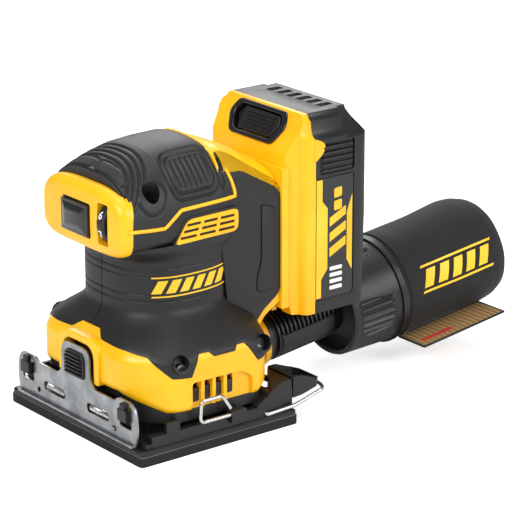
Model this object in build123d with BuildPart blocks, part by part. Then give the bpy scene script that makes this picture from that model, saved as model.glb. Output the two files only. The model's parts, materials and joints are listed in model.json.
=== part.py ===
from build123d import *
import os
from math import atan2, cos, degrees, radians, sin

os.makedirs("parts", exist_ok=True)

# Cordless quarter-sheet palm sander. Millimetres, +Z up, front (switch side) towards -Y.
# Origin: centre of the sanding face, the underside of the foam pad.

# ---- driving dimensions ----
PAD_WIDTH = 115.0          # across, X: the width of a quarter sheet clamp
PAD_LENGTH = 96.0          # fore and aft, Y
FOAM_THICK = 5.0
CRANK_THROW = 0.8          # half of the 1.6 mm orbit
MOTOR_Y = CRANK_THROW      # the motor stands one throw behind the pad's centre
LEDGE_TOP = 7.6            # paper ledges of the platen
DECK_TOP = 10.0
RAIL_TOP = 13.0
BEARING_OD = 22.0
SHAFT_R = 3.98             # running fit in an 8 mm bearing
WALL = 2.4
GRIP_LAYER = 1.8           # soft overmould on the neck
SKIRT_BOTTOM = 20.5
SKIRT_FRONT_BOTTOM = 30.0
SKIRT_TOP = 48.0
HEAD_HALF = 35.0
HEAD_BOTTOM = 91.0
HEAD_SPLIT = 110.0
REAR_HALF = 30.0
FOOT_Y = 57.5              # plane where the battery foot stands on the housing
BATTERY_HALF = 37.5
BATTERY_BOTTOM = 46.5
BATTERY_TOP = 150.0
BAG_TILT = 7.5             # the dust bag rises towards the rear

DUST_AXIS = Plane(origin=(0, 60, 25), x_dir=(1, 0, 0),
                  z_dir=(0, cos(radians(BAG_TILT)), sin(radians(BAG_TILT))))
MOTOR = Plane(origin=(0, MOTOR_Y, 0))

# levels of the neck: height, width, depth, middle in Y, corner radius
NECK_LEVELS = [(46.0, 102.0, 83.0, 1.0, 26.0), (52.0, 95.0, 78.0, 1.5, 26.0),
               (57.0, 80.0, 71.0, 2.5, 26.0), (62.0, 69.0, 67.0, 3.0, 25.0),
               (70.0, 66.0, 65.0, 3.5, 25.0), (HEAD_BOTTOM + 4, 66.0, 65.0, 3.5, 25.0)]


def neck_loft(inset, mode=Mode.ADD):
    """The neck flaring out to the skirt, smaller all round by inset."""
    levels = []
    for height, width, depth, middle, radius in NECK_LEVELS:
        with BuildSketch(Plane.XY.offset(height)) as level:
            with Locations((0, middle)):
                RectangleRounded(width - 2 * inset, depth - 2 * inset, radius - inset)
        levels.append(level.sketch)
    loft(sections=levels, ruled=True, mode=mode)


def skirt_outline(inset):
    """Plan of the skirt: a rectangle with its corners cut off, added to the open sketch."""
    side, front, rear = 53.0 - inset, -43.0 + inset, 46.0 - inset
    cut = inset * 0.45
    with BuildLine() as plan:
        Polyline((33 - cut, front), (side, -24 + cut), (side, 31 - cut), (31 - cut, rear),
                 (-31 + cut, rear), (-side, 31 - cut), (-side, -24 + cut), (-33 + cut, front),
                 close=True)
    make_face(plan.edges())


def side_profile(points, half_width, mode=Mode.ADD, curve=None):
    """A solid with the side view points (y, z), as wide as twice half_width."""
    with BuildSketch(Plane.YZ) as side_view:
        with BuildLine():
            Polyline(*points, close=curve is None)
            if curve is not None:
                Spline(*curve)
        make_face()
    extrude(side_view.sketch, amount=half_width, both=True, mode=mode)


# ======== platen, the orbiting body ========

with BuildPart() as foam_pad:
    with BuildSketch():
        RectangleRounded(PAD_WIDTH, PAD_LENGTH, 2.5)
        for span_x, span_y in ((40, 30), (84, 30)):
            with GridLocations(span_x, span_y, 2, 2):
                Circle(4, mode=Mode.SUBTRACT)
        with GridLocations(0, 62, 1, 2):
            Circle(4, mode=Mode.SUBTRACT)
    extrude(amount=FOAM_THICK)
foam_pad.part.label = "foam_pad"
export_step(foam_pad.part, "parts/foam_pad.step")

LEG_X, LEG_Y, LEG_R = 34.0, 27.0, 4.0
LEG_ANGLE = degrees(atan2(LEG_Y, LEG_X))
LEG_CUP_R = LEG_R + 2 * CRANK_THROW + 0.5
EAR_X = 42.5
CLAMP_Y = 46.0
FRONT_PIVOT_Z = 24.0

with BuildPart() as platen:
    with BuildSketch(Plane.XY.offset(FOAM_THICK)):
        RectangleRounded(PAD_WIDTH - 1, PAD_LENGTH - 1, 2)
    extrude(amount=LEDGE_TOP - FOAM_THICK)
    chamfer(platen.edges().group_by(Axis.Z)[-1], 0.8)
    with BuildSketch(Plane.XY.offset(LEDGE_TOP - 0.1)):
        Rectangle(PAD_WIDTH - 5, 87)
    extrude(amount=DECK_TOP - LEDGE_TOP + 0.1)
    for side in (-1, 1):
        with BuildSketch(Plane.XZ.offset(-40)):
            with BuildLine():
                Polyline((side * 55.4, LEDGE_TOP), (side * 54.8, RAIL_TOP), (side * 51, RAIL_TOP),
                         (side * 49.5, LEDGE_TOP), close=True)
            make_face()
        extrude(amount=80)
        with BuildSketch(Plane.XZ.offset(31)):                      # corner lug
            with BuildLine():
                Polyline((side * 55, LEDGE_TOP), (side * 54.6, 18), (side * 52.6, 18),
                         (side * 52, LEDGE_TOP), close=True)
            make_face()
        extrude(amount=-8)
        with Locations((side * 46, 40.8, 11.5)):                    # rear corner block
            Box(17, 8.4, 6)
        with Locations((side * 55.2, 11, 13)):                      # wire bracket
            Box(4.4, 9, 6)
    with Locations((0, 0, DECK_TOP)):
        Cylinder(15, 10, align=(Align.CENTER, Align.CENTER, Align.MIN))
    with Locations(*[(x, y, DECK_TOP) for x in (-LEG_X, LEG_X) for y in (-LEG_Y, LEG_Y)]):
        Cylinder(LEG_CUP_R + 1.6, 4, align=(Align.CENTER, Align.CENTER, Align.MIN))
    for x in (-EAR_X, EAR_X):                                        # hinge ears of both clamps
        with Locations((x, -43.2, 17.5)):
            Box(7, 2.4, 17)
        with Locations((x, -45.8, FRONT_PIVOT_Z - 1)):
            Box(7, 6.4, 6)
    with Locations(*[(x, -42.7, 11.7) for x in (-19, 19)]):
        Box(22, 4.6, 4.4)                                            # cradles of the torsion springs
    with Locations((0, 0, 12)):
        Cylinder(BEARING_OD / 2, 12, align=(Align.CENTER, Align.CENTER, Align.MIN),
                 mode=Mode.SUBTRACT)
    with Locations((0, 0, 4)):
        Cylinder(7, 10, align=(Align.CENTER, Align.CENTER, Align.MIN), mode=Mode.SUBTRACT)
    with Locations(*[(x, y, DECK_TOP - 1) for x in (-LEG_X, LEG_X) for y in (-LEG_Y, LEG_Y)]):
        Cylinder(LEG_CUP_R, 10, align=(Align.CENTER, Align.CENTER, Align.MIN), mode=Mode.SUBTRACT)
    with BuildSketch(Plane.XY.offset(4)):
        for span_x, span_y in ((40, 30), (84, 30)):
            with GridLocations(span_x, span_y, 2, 2):
                Circle(3)
        with GridLocations(0, 62, 1, 2):
            Circle(3)
    extrude(amount=8, mode=Mode.SUBTRACT)
    with Locations(*[(x, 14, 14.2) for x in (-56, 56)]):             # bores of the wire loops
        Cylinder(1.06, 17, rotation=(90, 0, 0), mode=Mode.SUBTRACT)
platen.part.label = "platen"
export_step(platen.part, "parts/platen.step")

with BuildPart() as pad_bearing:
    with BuildSketch(Plane.XZ):
        with Locations((7.5, 15.9)):
            Rectangle(7, 7)
        for height in (12.4, 19.4):
            with Locations((7.5, height)):
                Rectangle(3.4, 1.0, mode=Mode.SUBTRACT)
    revolve(axis=Axis.Z)
pad_bearing.part.label = "pad_bearing"
export_step(pad_bearing.part, "parts/pad_bearing.step")

SPRING_Y, SPRING_Z, SPRING_R = -43.1, 15.9, 2.0

with BuildPart() as clamp_springs:                                   # coils on their rods
    for x in (-19, 19):
        with BuildSketch(Plane.YZ.offset(x - 8)):
            with Locations((SPRING_Y, SPRING_Z)):
                Circle(SPRING_R)
        extrude(amount=16)
clamp_springs.part.label = "clamp_springs"
export_step(clamp_springs.part, "parts/clamp_springs.step")

with BuildPart() as rear_spring_wires:
    for side in (-1, 1):
        with BuildSketch(Plane.YZ.offset(side * 56.4 - 0.8)):
            with BuildLine():
                Polyline((28, 8.2), (46, 9.6), (62, 14.2), (62, 16.6), (46, 12), (28, 10.6),
                         close=True)
            make_face()
        extrude(amount=1.6)
        with Locations((side * 55.6, 31, 9.0)):
            Box(1.0, 6, 2)
rear_spring_wires.part.label = "rear_spring_wires"
export_step(rear_spring_wires.part, "parts/rear_spring_wires.step")

WIRE_R = 1.0
BAIL_X, BAIL_Z = 56.0, 14.2


def wire_loop(side):
    """A D-shaped finger loop standing on its straight hinge run along Y."""
    x = side * BAIL_X
    with BuildLine() as route:
        FilletPolyline((x, 15, BAIL_Z), (x, -12, BAIL_Z), (x, -11, 25.3), (x, 1.5, 25.3),
                       (x, 6.5, 17.8), radius=2.6)
    with BuildSketch(Plane(origin=route.line @ 0, z_dir=route.line % 0)) as wire:
        Circle(WIRE_R)
    sweep(sections=wire.sketch, path=route.line)


with BuildPart() as left_wire_loop:
    wire_loop(-1)
left_wire_loop.part.label = "left_wire_loop"
export_step(left_wire_loop.part, "parts/left_wire_loop.step")

with BuildPart() as right_wire_loop:
    wire_loop(1)
right_wire_loop.part.label = "right_wire_loop"
export_step(right_wire_loop.part, "parts/right_wire_loop.step")

# ======== paper clamps ========

PLATE = 1.2
TAB_HALF = 12.0
TAB_TOP = 46.0

with BuildPart() as front_clamp_plate:
    with BuildSketch(Plane.XZ.offset(CLAMP_Y - PLATE / 2)) as clamp_face:
        with BuildLine():
            Polyline((-50, 8.2), (50, 8.2), (52, 17), (50.5, 30), (TAB_HALF, 30),
                     (TAB_HALF, TAB_TOP), (-TAB_HALF, TAB_TOP), (-TAB_HALF, 30), (-50.5, 30),
                     (-52, 17), close=True)
        make_face()
        corners = clamp_face.vertices().filter_by_position(Axis.Y, 29, 47)
        fillet(corners.filter_by(lambda v: abs(v.X) > 40 or v.Y > 40), 7)
        with Locations(*[(x, FRONT_PIVOT_Z - 2) for x in (-EAR_X, EAR_X)]):
            RectangleRounded(10, 12, 1.5, mode=Mode.SUBTRACT)
        with Locations(*[(x, 17) for x in (-19, 19)]):
            SlotOverall(19, 5, mode=Mode.SUBTRACT)
    extrude(amount=PLATE)
front_clamp_plate.part.label = "front_clamp_plate"
export_step(front_clamp_plate.part, "parts/front_clamp_plate.step")

with BuildPart() as front_clamp_grip:
    with BuildSketch(Plane.XZ.offset(CLAMP_Y + PLATE / 2)):
        with Locations((0, 36.8)):
            RectangleRounded(16.5, 13.5, 2)
    extrude(amount=1.4)
    with BuildSketch(Plane.XZ.offset(CLAMP_Y + PLATE / 2 + 1.4)):
        with GridLocations(0, 2.4, 1, 5):
            with Locations((0, 36.8)):
                Rectangle(14, 1.3)
    extrude(amount=0.9)
front_clamp_grip.part.label = "front_clamp_grip"
export_step(front_clamp_grip.part, "parts/front_clamp_grip.step")

with BuildPart() as rear_clamp_plate:
    with BuildSketch(Plane.XZ.offset(-CLAMP_Y - PLATE / 2)):
        with BuildLine():
            Polyline((-50, 8.2), (50, 8.2), (50, 19), (-50, 19), close=True)
        make_face()
        with Locations((0, 19)):
            Rectangle(42, 18.8, mode=Mode.SUBTRACT)                  # room for the dust port
        with Locations(*[(x, 14) for x in (-34, 34)]):
            SlotOverall(17, 4, mode=Mode.SUBTRACT)
    extrude(amount=PLATE)
rear_clamp_plate.part.label = "rear_clamp_plate"
export_step(rear_clamp_plate.part, "parts/rear_clamp_plate.step")

with BuildPart() as rear_paddles:
    for side in (-1, 1):
        with BuildSketch(Plane.YZ.offset(side * 44.6 - 10.4)):
            with BuildLine():
                Polyline((46.6, 12.4), (52, 13.4), (66, 17.4), (66, 20.5), (46.6, 20.5),
                         close=True)
            make_face()
        extrude(amount=20.8)
        with BuildSketch(Plane.YZ.offset(side * 44.6 - 8.6)):
            with BuildLine():
                Polyline((48.2, 15.2), (52, 15.6), (64.2, 19), (64.2, 22), (48.2, 22), close=True)
            make_face()
        extrude(amount=17.2, mode=Mode.SUBTRACT)
rear_paddles.part.label = "rear_paddles"
export_step(rear_paddles.part, "parts/rear_paddles.step")

# ======== rotor, on the motor's axis ========

with BuildPart() as motor_shaft:
    with BuildSketch(Plane.XY.offset(21)):
        with Locations((0, MOTOR_Y)):
            Circle(SHAFT_R)
    extrude(amount=59)
    with BuildSketch(Plane.XY.offset(80)):
        with Locations((0, MOTOR_Y)):
            Circle(2.48)
    extrude(amount=12)
motor_shaft.part.label = "motor_shaft"
export_step(motor_shaft.part, "parts/motor_shaft.step")

with BuildPart() as crank:
    with BuildSketch(Plane.XY.offset(20.6)):
        with Locations((0, MOTOR_Y)):
            Circle(9)
            Circle(SHAFT_R, mode=Mode.SUBTRACT)
    extrude(amount=4.4)
    with BuildSketch(Plane.XY.offset(20.6)):
        Circle(6)
    extrude(amount=0.4)
    with BuildSketch(Plane.XY.offset(12.4)):
        Circle(SHAFT_R)
    extrude(amount=8.4)
crank.part.label = "crank"
export_step(crank.part, "parts/crank.step")

with BuildPart() as pad_bolt:
    with BuildSketch(Plane.XY.offset(10.9)):
        Circle(5.8)
    extrude(amount=1.5)
    with BuildSketch(Plane.XY.offset(8.2)):
        RegularPolygon(4.6, 6)
        RegularPolygon(2.2, 6, mode=Mode.SUBTRACT)
    extrude(amount=2.7)
pad_bolt.part.label = "pad_bolt"
export_step(pad_bolt.part, "parts/pad_bolt.step")

with BuildPart() as fan:
    with BuildSketch(Plane.XY.offset(25)):
        with Locations((0, MOTOR_Y)):
            Circle(32)
            Circle(SHAFT_R, mode=Mode.SUBTRACT)
    extrude(amount=1.4)
    with BuildSketch(Plane.XY.offset(26.2)):
        with Locations((0, MOTOR_Y)):
            Circle(8)
            Circle(SHAFT_R, mode=Mode.SUBTRACT)
    extrude(amount=6.2)
    with BuildSketch(Plane.XY.offset(26.2)):
        with Locations((0, MOTOR_Y)):
            with PolarLocations(21, 12):
                Rectangle(20, 1.2)
    extrude(amount=5.8)
fan.part.label = "fan"
export_step(fan.part, "parts/fan.step")

with BuildPart() as counterweight:
    with BuildSketch(Plane.XY.offset(32.6)):
        with Locations((0, MOTOR_Y)):
            Circle(9)
            Circle(SHAFT_R, mode=Mode.SUBTRACT)
    extrude(amount=4)
    with BuildSketch(Plane.XY.offset(32.6)):
        with Locations((0, MOTOR_Y)):
            Circle(22)
            Circle(8.5, mode=Mode.SUBTRACT)
            with Locations((0, -15)):
                Rectangle(50, 34, mode=Mode.SUBTRACT)
    extrude(amount=4)
counterweight.part.label = "counterweight"
export_step(counterweight.part, "parts/counterweight.step")

with BuildPart() as rotor_core:
    with BuildSketch(Plane.XY.offset(52)):
        with Locations((0, MOTOR_Y)):
            Circle(13.4)
            Circle(SHAFT_R, mode=Mode.SUBTRACT)
            with PolarLocations(10.5, 4):
                Rectangle(2.2, 11, mode=Mode.SUBTRACT)
    extrude(amount=24)
rotor_core.part.label = "rotor_core"
export_step(rotor_core.part, "parts/rotor_core.step")

with BuildPart() as rotor_magnets:
    with BuildSketch(Plane.XY.offset(52)):
        with Locations((0, MOTOR_Y)):
            with PolarLocations(10.5, 4):
                Rectangle(2.2, 11)
    extrude(amount=24)
rotor_magnets.part.label = "rotor_magnets"
export_step(rotor_magnets.part, "parts/rotor_magnets.step")

# ======== motor, fixed in the housing ========


def ball_bearing(bottom, bore_r, outer_r, height):
    """A shielded ball bearing as one ring with sunk shields, on the motor's axis."""
    with BuildSketch(Plane.XY.offset(bottom)) as race:
        with Locations((0, MOTOR_Y)):
            Circle(outer_r)
            Circle(bore_r, mode=Mode.SUBTRACT)
    extrude(race.sketch, amount=height)
    for level in (bottom, bottom + height - 0.5):
        with BuildSketch(Plane.XY.offset(level)) as shield:
            with Locations((0, MOTOR_Y)):
                Circle(outer_r - 1.6)
                Circle(bore_r + 1.4, mode=Mode.SUBTRACT)
        extrude(shield.sketch, amount=0.5, mode=Mode.SUBTRACT)


with BuildPart() as lower_bearing:
    ball_bearing(39, 4, 11, 7)
lower_bearing.part.label = "lower_bearing"
export_step(lower_bearing.part, "parts/lower_bearing.step")

with BuildPart() as upper_bearing:
    ball_bearing(86, 2.5, 8, 5)
upper_bearing.part.label = "upper_bearing"
export_step(upper_bearing.part, "parts/upper_bearing.step")

with BuildPart() as bearing_carrier:
    with BuildSketch(Plane.XY.offset(38)):
        with Locations((0, MOTOR_Y)):
            Circle(30)
    extrude(amount=8)
    with BuildSketch(Plane.XY.offset(40)):
        Rectangle(101.2, 10)
        for turn in (-1, 1):
            Rectangle(98, 11, rotation=turn * LEG_ANGLE)
    extrude(amount=4)
    with BuildSketch(Plane.XY.offset(37)):
        with Locations((0, MOTOR_Y)):
            Circle(5.2)
    extrude(amount=10, mode=Mode.SUBTRACT)
    with BuildSketch(Plane.XY.offset(39)):
        with Locations((0, MOTOR_Y)):
            Circle(11)
    extrude(amount=8, mode=Mode.SUBTRACT)
bearing_carrier.part.label = "bearing_carrier"
export_step(bearing_carrier.part, "parts/bearing_carrier.step")

with BuildPart() as stator:
    with BuildSketch(Plane.XY.offset(52)):
        with Locations((0, MOTOR_Y)):
            Circle(25.5)
            Circle(21.5, mode=Mode.SUBTRACT)
            with PolarLocations(18.4, 6):
                Rectangle(7, 5)
            with PolarLocations(15.2, 6):
                RectangleRounded(1.8, 10, 0.8)
            Circle(14, mode=Mode.SUBTRACT)
    extrude(amount=24)
stator.part.label = "stator"
export_step(stator.part, "parts/stator.step")

with BuildPart() as stator_coils:
    with BuildSketch(Plane.XY.offset(49.5)):
        with Locations((0, MOTOR_Y)):
            with PolarLocations(18.8, 6):
                RectangleRounded(4.4, 10.4, 1.5)
    extrude(amount=29)
    with BuildSketch(Plane.XY.offset(52)):
        with Locations((0, MOTOR_Y)):
            with PolarLocations(18.8, 6):
                Rectangle(6, 5)
    extrude(amount=24, mode=Mode.SUBTRACT)
stator_coils.part.label = "stator_coils"
export_step(stator_coils.part, "parts/stator_coils.step")

# ======== housing shells ========


def rear_profile(inset):
    """Side view of the battery block behind the neck, from the collar down to the skirt."""
    return [(27, 92 + inset), (27, 142 - inset), (38 - inset, 137.5 - inset),
            (52 - inset, 129 - inset), (FOOT_Y - inset, 124 - inset), (FOOT_Y - inset, 50 + inset),
            (42, 50 + inset), (27, 62 + inset)]


HEAD_LOWER = [(-36, 96), (-30, HEAD_BOTTOM), (30, HEAD_BOTTOM), (30, 117), (-6, 117), (-15, HEAD_SPLIT),
              (-36, HEAD_SPLIT)]
HEAD_ROOM = [(-37, 98.4), (-29, 94), (28, 94), (28, 120), (-37, 120)]

SCREW_Z, SCREW_R = 41.5, 3.2
SCREW_Y = (-19.5, 27.0)
VENT_OUTLINE = [(-11, 100), (30, 100), (30, 110.8), (-4, 110.8)]

with BuildPart() as housing:
    with BuildSketch(Plane.XY.offset(SKIRT_BOTTOM)) as skirt_plan:
        skirt_outline(0)
        fillet(skirt_plan.vertices(), 7)
    extrude(amount=SKIRT_TOP - SKIRT_BOTTOM)
    neck_loft(GRIP_LAYER)
    side_profile(HEAD_LOWER, HEAD_HALF)
    side_profile(rear_profile(0), REAR_HALF)
    with BuildSketch(Plane.XY.offset(SKIRT_BOTTOM)) as skirt_room:
        skirt_outline(WALL)
        fillet(skirt_room.vertices(), 5)
    extrude(amount=46.4 - SKIRT_BOTTOM, mode=Mode.SUBTRACT)
    neck_loft(GRIP_LAYER + WALL, mode=Mode.SUBTRACT)
    side_profile(HEAD_ROOM, HEAD_HALF - WALL, mode=Mode.SUBTRACT)
    side_profile(rear_profile(WALL), REAR_HALF - WALL, mode=Mode.SUBTRACT)
    with BuildSketch(Plane.XZ.offset(30)) as front_rise:              # bottom edge rises in front
        with BuildLine():
            Polyline((-46, SKIRT_BOTTOM - 1), (-40, SKIRT_FRONT_BOTTOM), (40, SKIRT_FRONT_BOTTOM),
                     (46, SKIRT_BOTTOM - 1), close=True)
        make_face()
    extrude(amount=20, mode=Mode.SUBTRACT)
    with BuildSketch(Plane.XZ.offset(38)) as tab_arch:                # arch around the clamp tab
        with BuildLine():
            Polyline((-14, 18), (-14, 40), (-9, 47.6), (9, 47.6), (14, 40), (14, 18), close=True)
        make_face()
    extrude(amount=8, mode=Mode.SUBTRACT)
    with Locations(*[(x, y, 28) for x in (-52, 52) for y in (-11, -1, 9, 19)]):
        Box(8, 4, 11, mode=Mode.SUBTRACT)                             # air slots in the skirt
    with Locations(*[(x, y, SCREW_Z) for x in (-50, 50) for y in SCREW_Y]):
        Cylinder(SCREW_R, 12, rotation=(0, 90, 0), mode=Mode.SUBTRACT)
    with BuildSketch(DUST_AXIS.offset(-22)):                          # opening of the dust port
        Circle(12.6)
    extrude(amount=12, mode=Mode.SUBTRACT)
    for bottom in (65, 73):                                           # ribs that hold the stator
        with BuildSketch(Plane.XY.offset(bottom)):
            with Locations((0, 3.5)):
                RectangleRounded(61, 60, 22)
            with Locations((0, MOTOR_Y)):
                Circle(25.5, mode=Mode.SUBTRACT)
        extrude(amount=2)
    with BuildSketch(Plane.XY.offset(85)):                            # seat of the upper bearing
        with Locations((0, 3.5)):
            RectangleRounded(61, 60, 22)
        with Locations((0, MOTOR_Y)):
            Circle(8, mode=Mode.SUBTRACT)
    extrude(amount=8)
    with BuildSketch(Plane.YZ.offset(-HEAD_HALF - 1)):                # windows of the side vents
        with BuildLine():
            Polyline(*VENT_OUTLINE, close=True)
        make_face()
    extrude(amount=2 * HEAD_HALF + 2, mode=Mode.SUBTRACT)

with BuildPart() as housing_right:
    add(housing.part)
    split(bisect_by=Plane.YZ, keep=Keep.TOP)
housing_right.part.label = "housing_right"
export_step(housing_right.part, "parts/housing_right.step")

with BuildPart() as housing_left:
    add(housing.part)
    split(bisect_by=Plane.YZ, keep=Keep.BOTTOM)
housing_left.part.label = "housing_left"
export_step(housing_left.part, "parts/housing_left.step")

with BuildPart() as overmould:
    neck_loft(0)
    neck_loft(GRIP_LAYER, mode=Mode.SUBTRACT)
    with BuildSketch(Plane.XY.offset(40)):
        Rectangle(140, 140)
    extrude(amount=SKIRT_TOP - 40, mode=Mode.SUBTRACT)
    with BuildSketch(Plane.XY.offset(HEAD_BOTTOM)):
        Rectangle(140, 140)
    extrude(amount=10, mode=Mode.SUBTRACT)
    side_profile(rear_profile(0), REAR_HALF, mode=Mode.SUBTRACT)

with BuildPart() as grip_right:
    add(overmould.part)
    split(bisect_by=Plane.YZ, keep=Keep.TOP)
grip_right.part.label = "grip_right"
export_step(grip_right.part, "parts/grip_right.step")

with BuildPart() as grip_left:
    add(overmould.part)
    split(bisect_by=Plane.YZ, keep=Keep.BOTTOM)
grip_left.part.label = "grip_left"
export_step(grip_left.part, "parts/grip_left.step")

with BuildPart() as side_vent_right:
    with BuildSketch(Plane.YZ.offset(HEAD_HALF - WALL)):
        with BuildLine():
            Polyline(*VENT_OUTLINE, close=True)
        make_face()
        with Locations(*[(y + row * 1.2, 102 + row * 3.2) for row in range(3) for y in (-2, 9, 20)]):
            Rectangle(8.4, 1.5, mode=Mode.SUBTRACT)
    extrude(amount=WALL + 0.8)
side_vent_right.part.label = "side_vent_right"
export_step(side_vent_right.part, "parts/side_vent_right.step")

with BuildPart() as side_vent_left:
    add(mirror(side_vent_right.part, about=Plane.YZ, mode=Mode.PRIVATE))
side_vent_left.part.label = "side_vent_left"
export_step(side_vent_left.part, "parts/side_vent_left.step")

with BuildPart() as dust_shroud:                                      # dark wall inside the skirt
    with BuildSketch(Plane.XY.offset(14.6)) as shroud_plan:
        skirt_outline(WALL + 0.02)
        fillet(shroud_plan.vertices(), 5)
    extrude(amount=16)
    with BuildSketch(Plane.XY.offset(14.6)) as shroud_room:
        skirt_outline(WALL + 2.0)
        fillet(shroud_room.vertices(), 4)
    extrude(amount=16, mode=Mode.SUBTRACT)
    with Locations((0, -45, 17)):
        Box(64, 14, 18, mode=Mode.SUBTRACT)                          # clear of the front clamp
    with Locations((0, -36.9, 30)):                                   # pocket behind the clamp tab
        Box(30.4, 5.0, 30.8)
    with Locations((0, -40.2, 29)):
        Box(27.4, 9.4, 40, mode=Mode.SUBTRACT)
    with BuildSketch(DUST_AXIS.offset(-26)):
        Circle(12.6)
    extrude(amount=16, mode=Mode.SUBTRACT)
dust_shroud.part.label = "dust_shroud"
export_step(dust_shroud.part, "parts/dust_shroud.step")

with BuildPart() as isolator_legs:
    with Locations(*[(x, y, 12.5) for x in (-LEG_X, LEG_X) for y in (-LEG_Y, LEG_Y)]):
        Cylinder(LEG_R, 27.5, align=(Align.CENTER, Align.CENTER, Align.MIN))
isolator_legs.part.label = "isolator_legs"
export_step(isolator_legs.part, "parts/isolator_legs.step")

# ======== head: cover, bezel, switch, dial ========

DOME_TOP = 144.0
HEAD_FRONT = -36.0
COVER_REAR = 27.0


def dome(inset, mode=Mode.ADD):
    """The palm cover, arched over the head, with a step in its lower edge."""
    low = HEAD_SPLIT + inset
    rear = COVER_REAR - inset
    edge = [(rear, 141.5 - inset), (rear, 117 + inset), (-6 + inset, 117 + inset), (-15, low),
            (HEAD_FRONT + inset, low), (HEAD_FRONT + inset, 131 - inset)]
    arch = [(HEAD_FRONT + inset, 131 - inset), (-22, 139.5 - inset), (-2, 143.5 - inset),
            (12, DOME_TOP - inset), (rear, 141.5 - inset)]
    side_profile(edge, HEAD_HALF - inset, mode=mode, curve=arch)


with BuildPart() as cover_body:
    dome(0)
    shoulders = cover_body.edges().filter_by_position(Axis.Z, 128, 150)
    fillet(shoulders.filter_by(lambda e: abs(e.center().X) > 30), 15)

with BuildPart() as cover_room:
    dome(WALL)
    inner_shoulders = cover_room.edges().filter_by_position(Axis.Z, 125, 150)
    fillet(inner_shoulders.filter_by(lambda e: abs(e.center().X) > 28), 13)

COVER_HOLES = [(27, -21), (-27, -21)]

with BuildPart() as top_cover:
    add(cover_body.part)
    add(cover_room.part, mode=Mode.SUBTRACT)
    with Locations((0, -1, 111)):
        Box(2 * (HEAD_HALF - WALL), 56 - WALL, 16, mode=Mode.SUBTRACT)
    with Locations((0, -26, 108)):
        Box(2 * (HEAD_HALF - WALL), 30, 20, mode=Mode.SUBTRACT)
    with BuildSketch(Plane.XZ.offset(30)):                            # open behind the bezel
        with Locations((0, 113)):
            RectangleRounded(64, 30, 9)
    extrude(amount=8, mode=Mode.SUBTRACT)
    with Locations(*[(x, y, 126) for x, y in COVER_HOLES]):
        Cylinder(4.6, 30, mode=Mode.SUBTRACT)
top_cover.part.label = "top_cover"
export_step(top_cover.part, "parts/top_cover.step")

with BuildPart() as cover_screws:
    with Locations(*[(x, y, 118) for x, y in COVER_HOLES]):
        Cylinder(3.2, 2.4)
    with Locations(*[(x, y, 110) for x, y in COVER_HOLES]):
        Cylinder(1.7, 14)
cover_screws.part.label = "cover_screws"
export_step(cover_screws.part, "parts/cover_screws.step")

BEZEL_FRONT = -42.0
BEZEL_Z = 114.2
SWITCH_X, SWITCH_Z = -2.0, 111.0
DIAL_X, DIAL_Z = 20.0, 112.0
DIAL_R = 11.0

with BuildPart() as front_bezel:
    with BuildSketch(Plane.XZ.offset(-HEAD_FRONT)):
        with Locations((0, BEZEL_Z)):
            RectangleRounded(71.6, 34, 12)
    extrude(amount=HEAD_FRONT - BEZEL_FRONT)
    fillet(front_bezel.edges().group_by(Axis.Y)[0], 4)
    with BuildSketch(Plane.XZ.offset(-HEAD_FRONT - 2)):
        with Locations((0, BEZEL_Z)):
            RectangleRounded(66, 28.4, 9)
    extrude(amount=HEAD_FRONT - BEZEL_FRONT - 0.6, mode=Mode.SUBTRACT)
    with Locations((SWITCH_X, BEZEL_FRONT, SWITCH_Z)):
        Box(23, 20, 17, mode=Mode.SUBTRACT)
    with Locations((DIAL_X, BEZEL_FRONT, DIAL_Z)):
        Box(8.4, 20, 19.5, mode=Mode.SUBTRACT)
front_bezel.part.label = "front_bezel"
export_step(front_bezel.part, "parts/front_bezel.step")

with BuildPart() as switch_frame:
    with BuildSketch(Plane.XZ.offset(-HEAD_FRONT - 3)):
        with Locations((SWITCH_X, SWITCH_Z)):
            RectangleRounded(22.8, 16.8, 1.5)
            RectangleRounded(20, 14.4, 1, mode=Mode.SUBTRACT)
    extrude(amount=9.4)
switch_frame.part.label = "switch_frame"
export_step(switch_frame.part, "parts/switch_frame.step")

with BuildPart() as switch_module:
    with Locations((SWITCH_X, -27, SWITCH_Z)):
        Box(22, 12, 16)
    with Locations(*[(SWITCH_X + x, -19, SWITCH_Z) for x in (-6, 6)]):
        Box(0.8, 6, 6.3)
switch_module.part.label = "switch_module"
export_step(switch_module.part, "parts/switch_module.step")

with BuildPart() as switch_rocker:
    with BuildSketch(Plane.XZ.offset(37)):
        with Locations((SWITCH_X, SWITCH_Z)):
            Rectangle(17.6, 13.2)
    extrude(amount=5)
    with BuildSketch(Plane.XZ.offset(42)):
        with Locations((SWITCH_X - 1.5, SWITCH_Z)):
            Rectangle(12, 11)
    extrude(amount=2, taper=35)
    with Locations((SWITCH_X, -35.6, SWITCH_Z)):
        Box(4, 3, 6)
switch_rocker.part.label = "switch_rocker"
export_step(switch_rocker.part, "parts/switch_rocker.step")

with BuildPart() as speed_dial:
    with BuildSketch(Plane.YZ.offset(DIAL_X - 3.4)):
        with Locations((-33.4, DIAL_Z)):
            Circle(DIAL_R)
            with PolarLocations(DIAL_R + 0.5, 24):
                Circle(0.8, mode=Mode.SUBTRACT)
            with Locations((0, 0)):
                Circle(3, mode=Mode.SUBTRACT)
    extrude(amount=6.8)
speed_dial.part.label = "speed_dial"
export_step(speed_dial.part, "parts/speed_dial.step")

with BuildPart() as speed_pot:
    with Locations((27.6, -31.4, DIAL_Z)):
        Box(6, 9, 13)
    with Locations((DIAL_X + 2.3, -33.4, DIAL_Z)):
        Cylinder(2.95, 9, rotation=(0, 90, 0))
speed_pot.part.label = "speed_pot"
export_step(speed_pot.part, "parts/speed_pot.step")

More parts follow.
